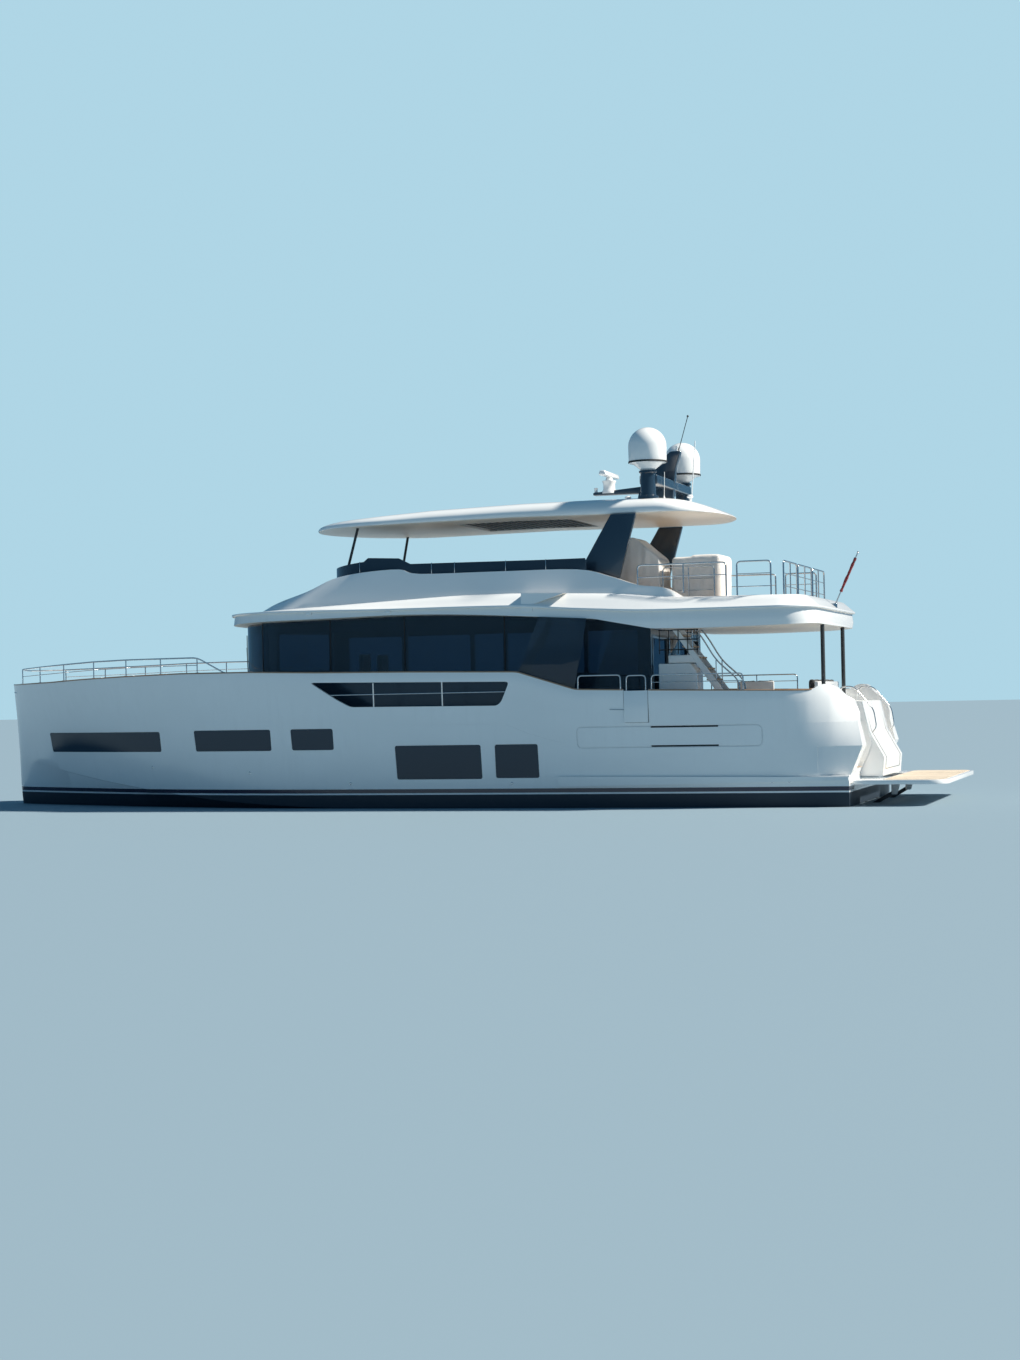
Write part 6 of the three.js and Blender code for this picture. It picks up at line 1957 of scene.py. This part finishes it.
def on_circle(radius, turn):
    return (radius * math.cos(turn), radius * math.sin(turn), 0)


def wheel(place, radius=0.19):
    rim = tube([on_circle(radius, turn) for turn in full_turn(32)], 0.014, 10, ends=False)
    parts = [rim, turned([(0, -0.06), (0.035, -0.06), (0.045, 0.0), (0, 0.012)], 24)]
    for turn in (math.pi / 2 + 2 * math.pi * k / 3 for k in range(3)):
        parts.append(tube([on_circle(0.03, turn), on_circle(radius, turn)], 0.009, 8))
    whole = together(*parts)
    bmesh.ops.remove_doubles(whole, verts=whole.verts, dist=1e-4)
    return placed(whole, place, math.radians(-62), "Y")


def helm_screen(y, near, far):
    """A screen let into the sloping console, between its near and far edge in the side view."""
    (x0, z0), (x1, z1) = near, far
    corners = [(x0, y - 0.2, z0), (x0, y + 0.2, z0), (x1, y + 0.2, z1), (x1, y - 0.2, z1)]
    return carried(corners, (-0.006, 0, 0.012))


wheels = together(wheel((3.26, 0.62, 3.18)), wheel((0.90, 0.45, 5.50)))
finish_piece(wheels, "steering_wheels", "rubber")
screens = [helm_screen(y, (3.38, 3.268), (3.76, 3.438)) for y in (-0.35, 0.15, 0.62, 1.10)]
screens += [helm_screen(y, (1.03, 5.576), (1.37, 5.708)) for y in (-0.42, 0.42)]
finish_piece(together(*screens), "helm_screens", "dark_glass")

# %% [markdown]
# The lounge on the foredeck is a moulded base with a recessed foot, so a shadow runs under it. Two outlines, one
# a little smaller than the other, give it.

# %% Foredeck lounge
lounge = plan_solid(plan_outline(1.49, 6.01, 8.4, 0.89, steps=32), 2.50, 2.849)
lounge_foot = plan_solid(plan_outline(1.44, 6.05, 8.4, 0.84, steps=32), 2.401, 2.52)
finish_piece(round_edges(join(lounge, lounge_foot), 0.03, 3, 50), "foredeck_lounge_base", "gelcoat",
             instead=["foredeck_lounge"], crease=30)

# %% [markdown]
# The boat stands in a plain pale studio whose floor is the water's level. One broad sun from astern lights the
# crown, the quarters and the transom as in the photograph, and a soft blue-grey world fills the shaded side.

# %% Floor and light
FLOOR_RADIUS, FLOOR_COLOUR = 420, (0.20, 0.285, 0.35, 1)
SUN_STRENGTH, SUN_COLOUR, TOWARD_SUN = 7.8, (1.0, 0.92, 0.80), Vector((-0.72, -0.16, 0.67))
FILL_COLOUR, FILL_STRENGTH, BACKDROP_COLOUR = (0.21, 0.52, 0.84, 1), 0.36, (0.43, 0.67, 0.79, 1)


def add_floor():
    bm = bmesh.new()
    bmesh.ops.create_circle(bm, cap_ends=True, segments=120, radius=FLOOR_RADIUS)
    floor = new_object(bm, "floor")
    material, _, shader = new_material("pale_floor")
    shader.inputs["Base Color"].default_value = FLOOR_COLOUR
    shader.inputs["Roughness"].default_value = 0.75
    floor.data.materials.append(material)


def add_light():
    sun = bpy.data.objects.new("sun", bpy.data.lights.new("sun", "SUN"))
    bpy.context.scene.collection.objects.link(sun)
    sun.data.energy = SUN_STRENGTH
    sun.data.angle = math.radians(4)
    sun.data.color = SUN_COLOUR
    sun.rotation_euler = TOWARD_SUN.to_track_quat("Z", "Y").to_euler()
    world = bpy.data.worlds.new("studio")
    bpy.context.scene.world = world
    world.use_nodes = True
    tree = world.node_tree
    fill = tree.nodes["Background"]
    fill.inputs["Color"].default_value = FILL_COLOUR
    fill.inputs["Strength"].default_value = FILL_STRENGTH
    backdrop = add_node(tree, "Background", Color=BACKDROP_COLOUR, Strength=1.0)
    seen = add_node(tree, "LightPath").outputs["Is Camera Ray"]
    both = add_node(tree, "MixShader", i0=seen)
    tree.links.new(fill.outputs[0], both.inputs[1])
    tree.links.new(backdrop.outputs[0], both.inputs[2])
    tree.links.new(both.outputs[0], tree.nodes["World Output"].inputs[0])


add_floor()
add_light()
view = bpy.context.scene.view_settings
view.view_transform = "Standard"
print("studio ready")
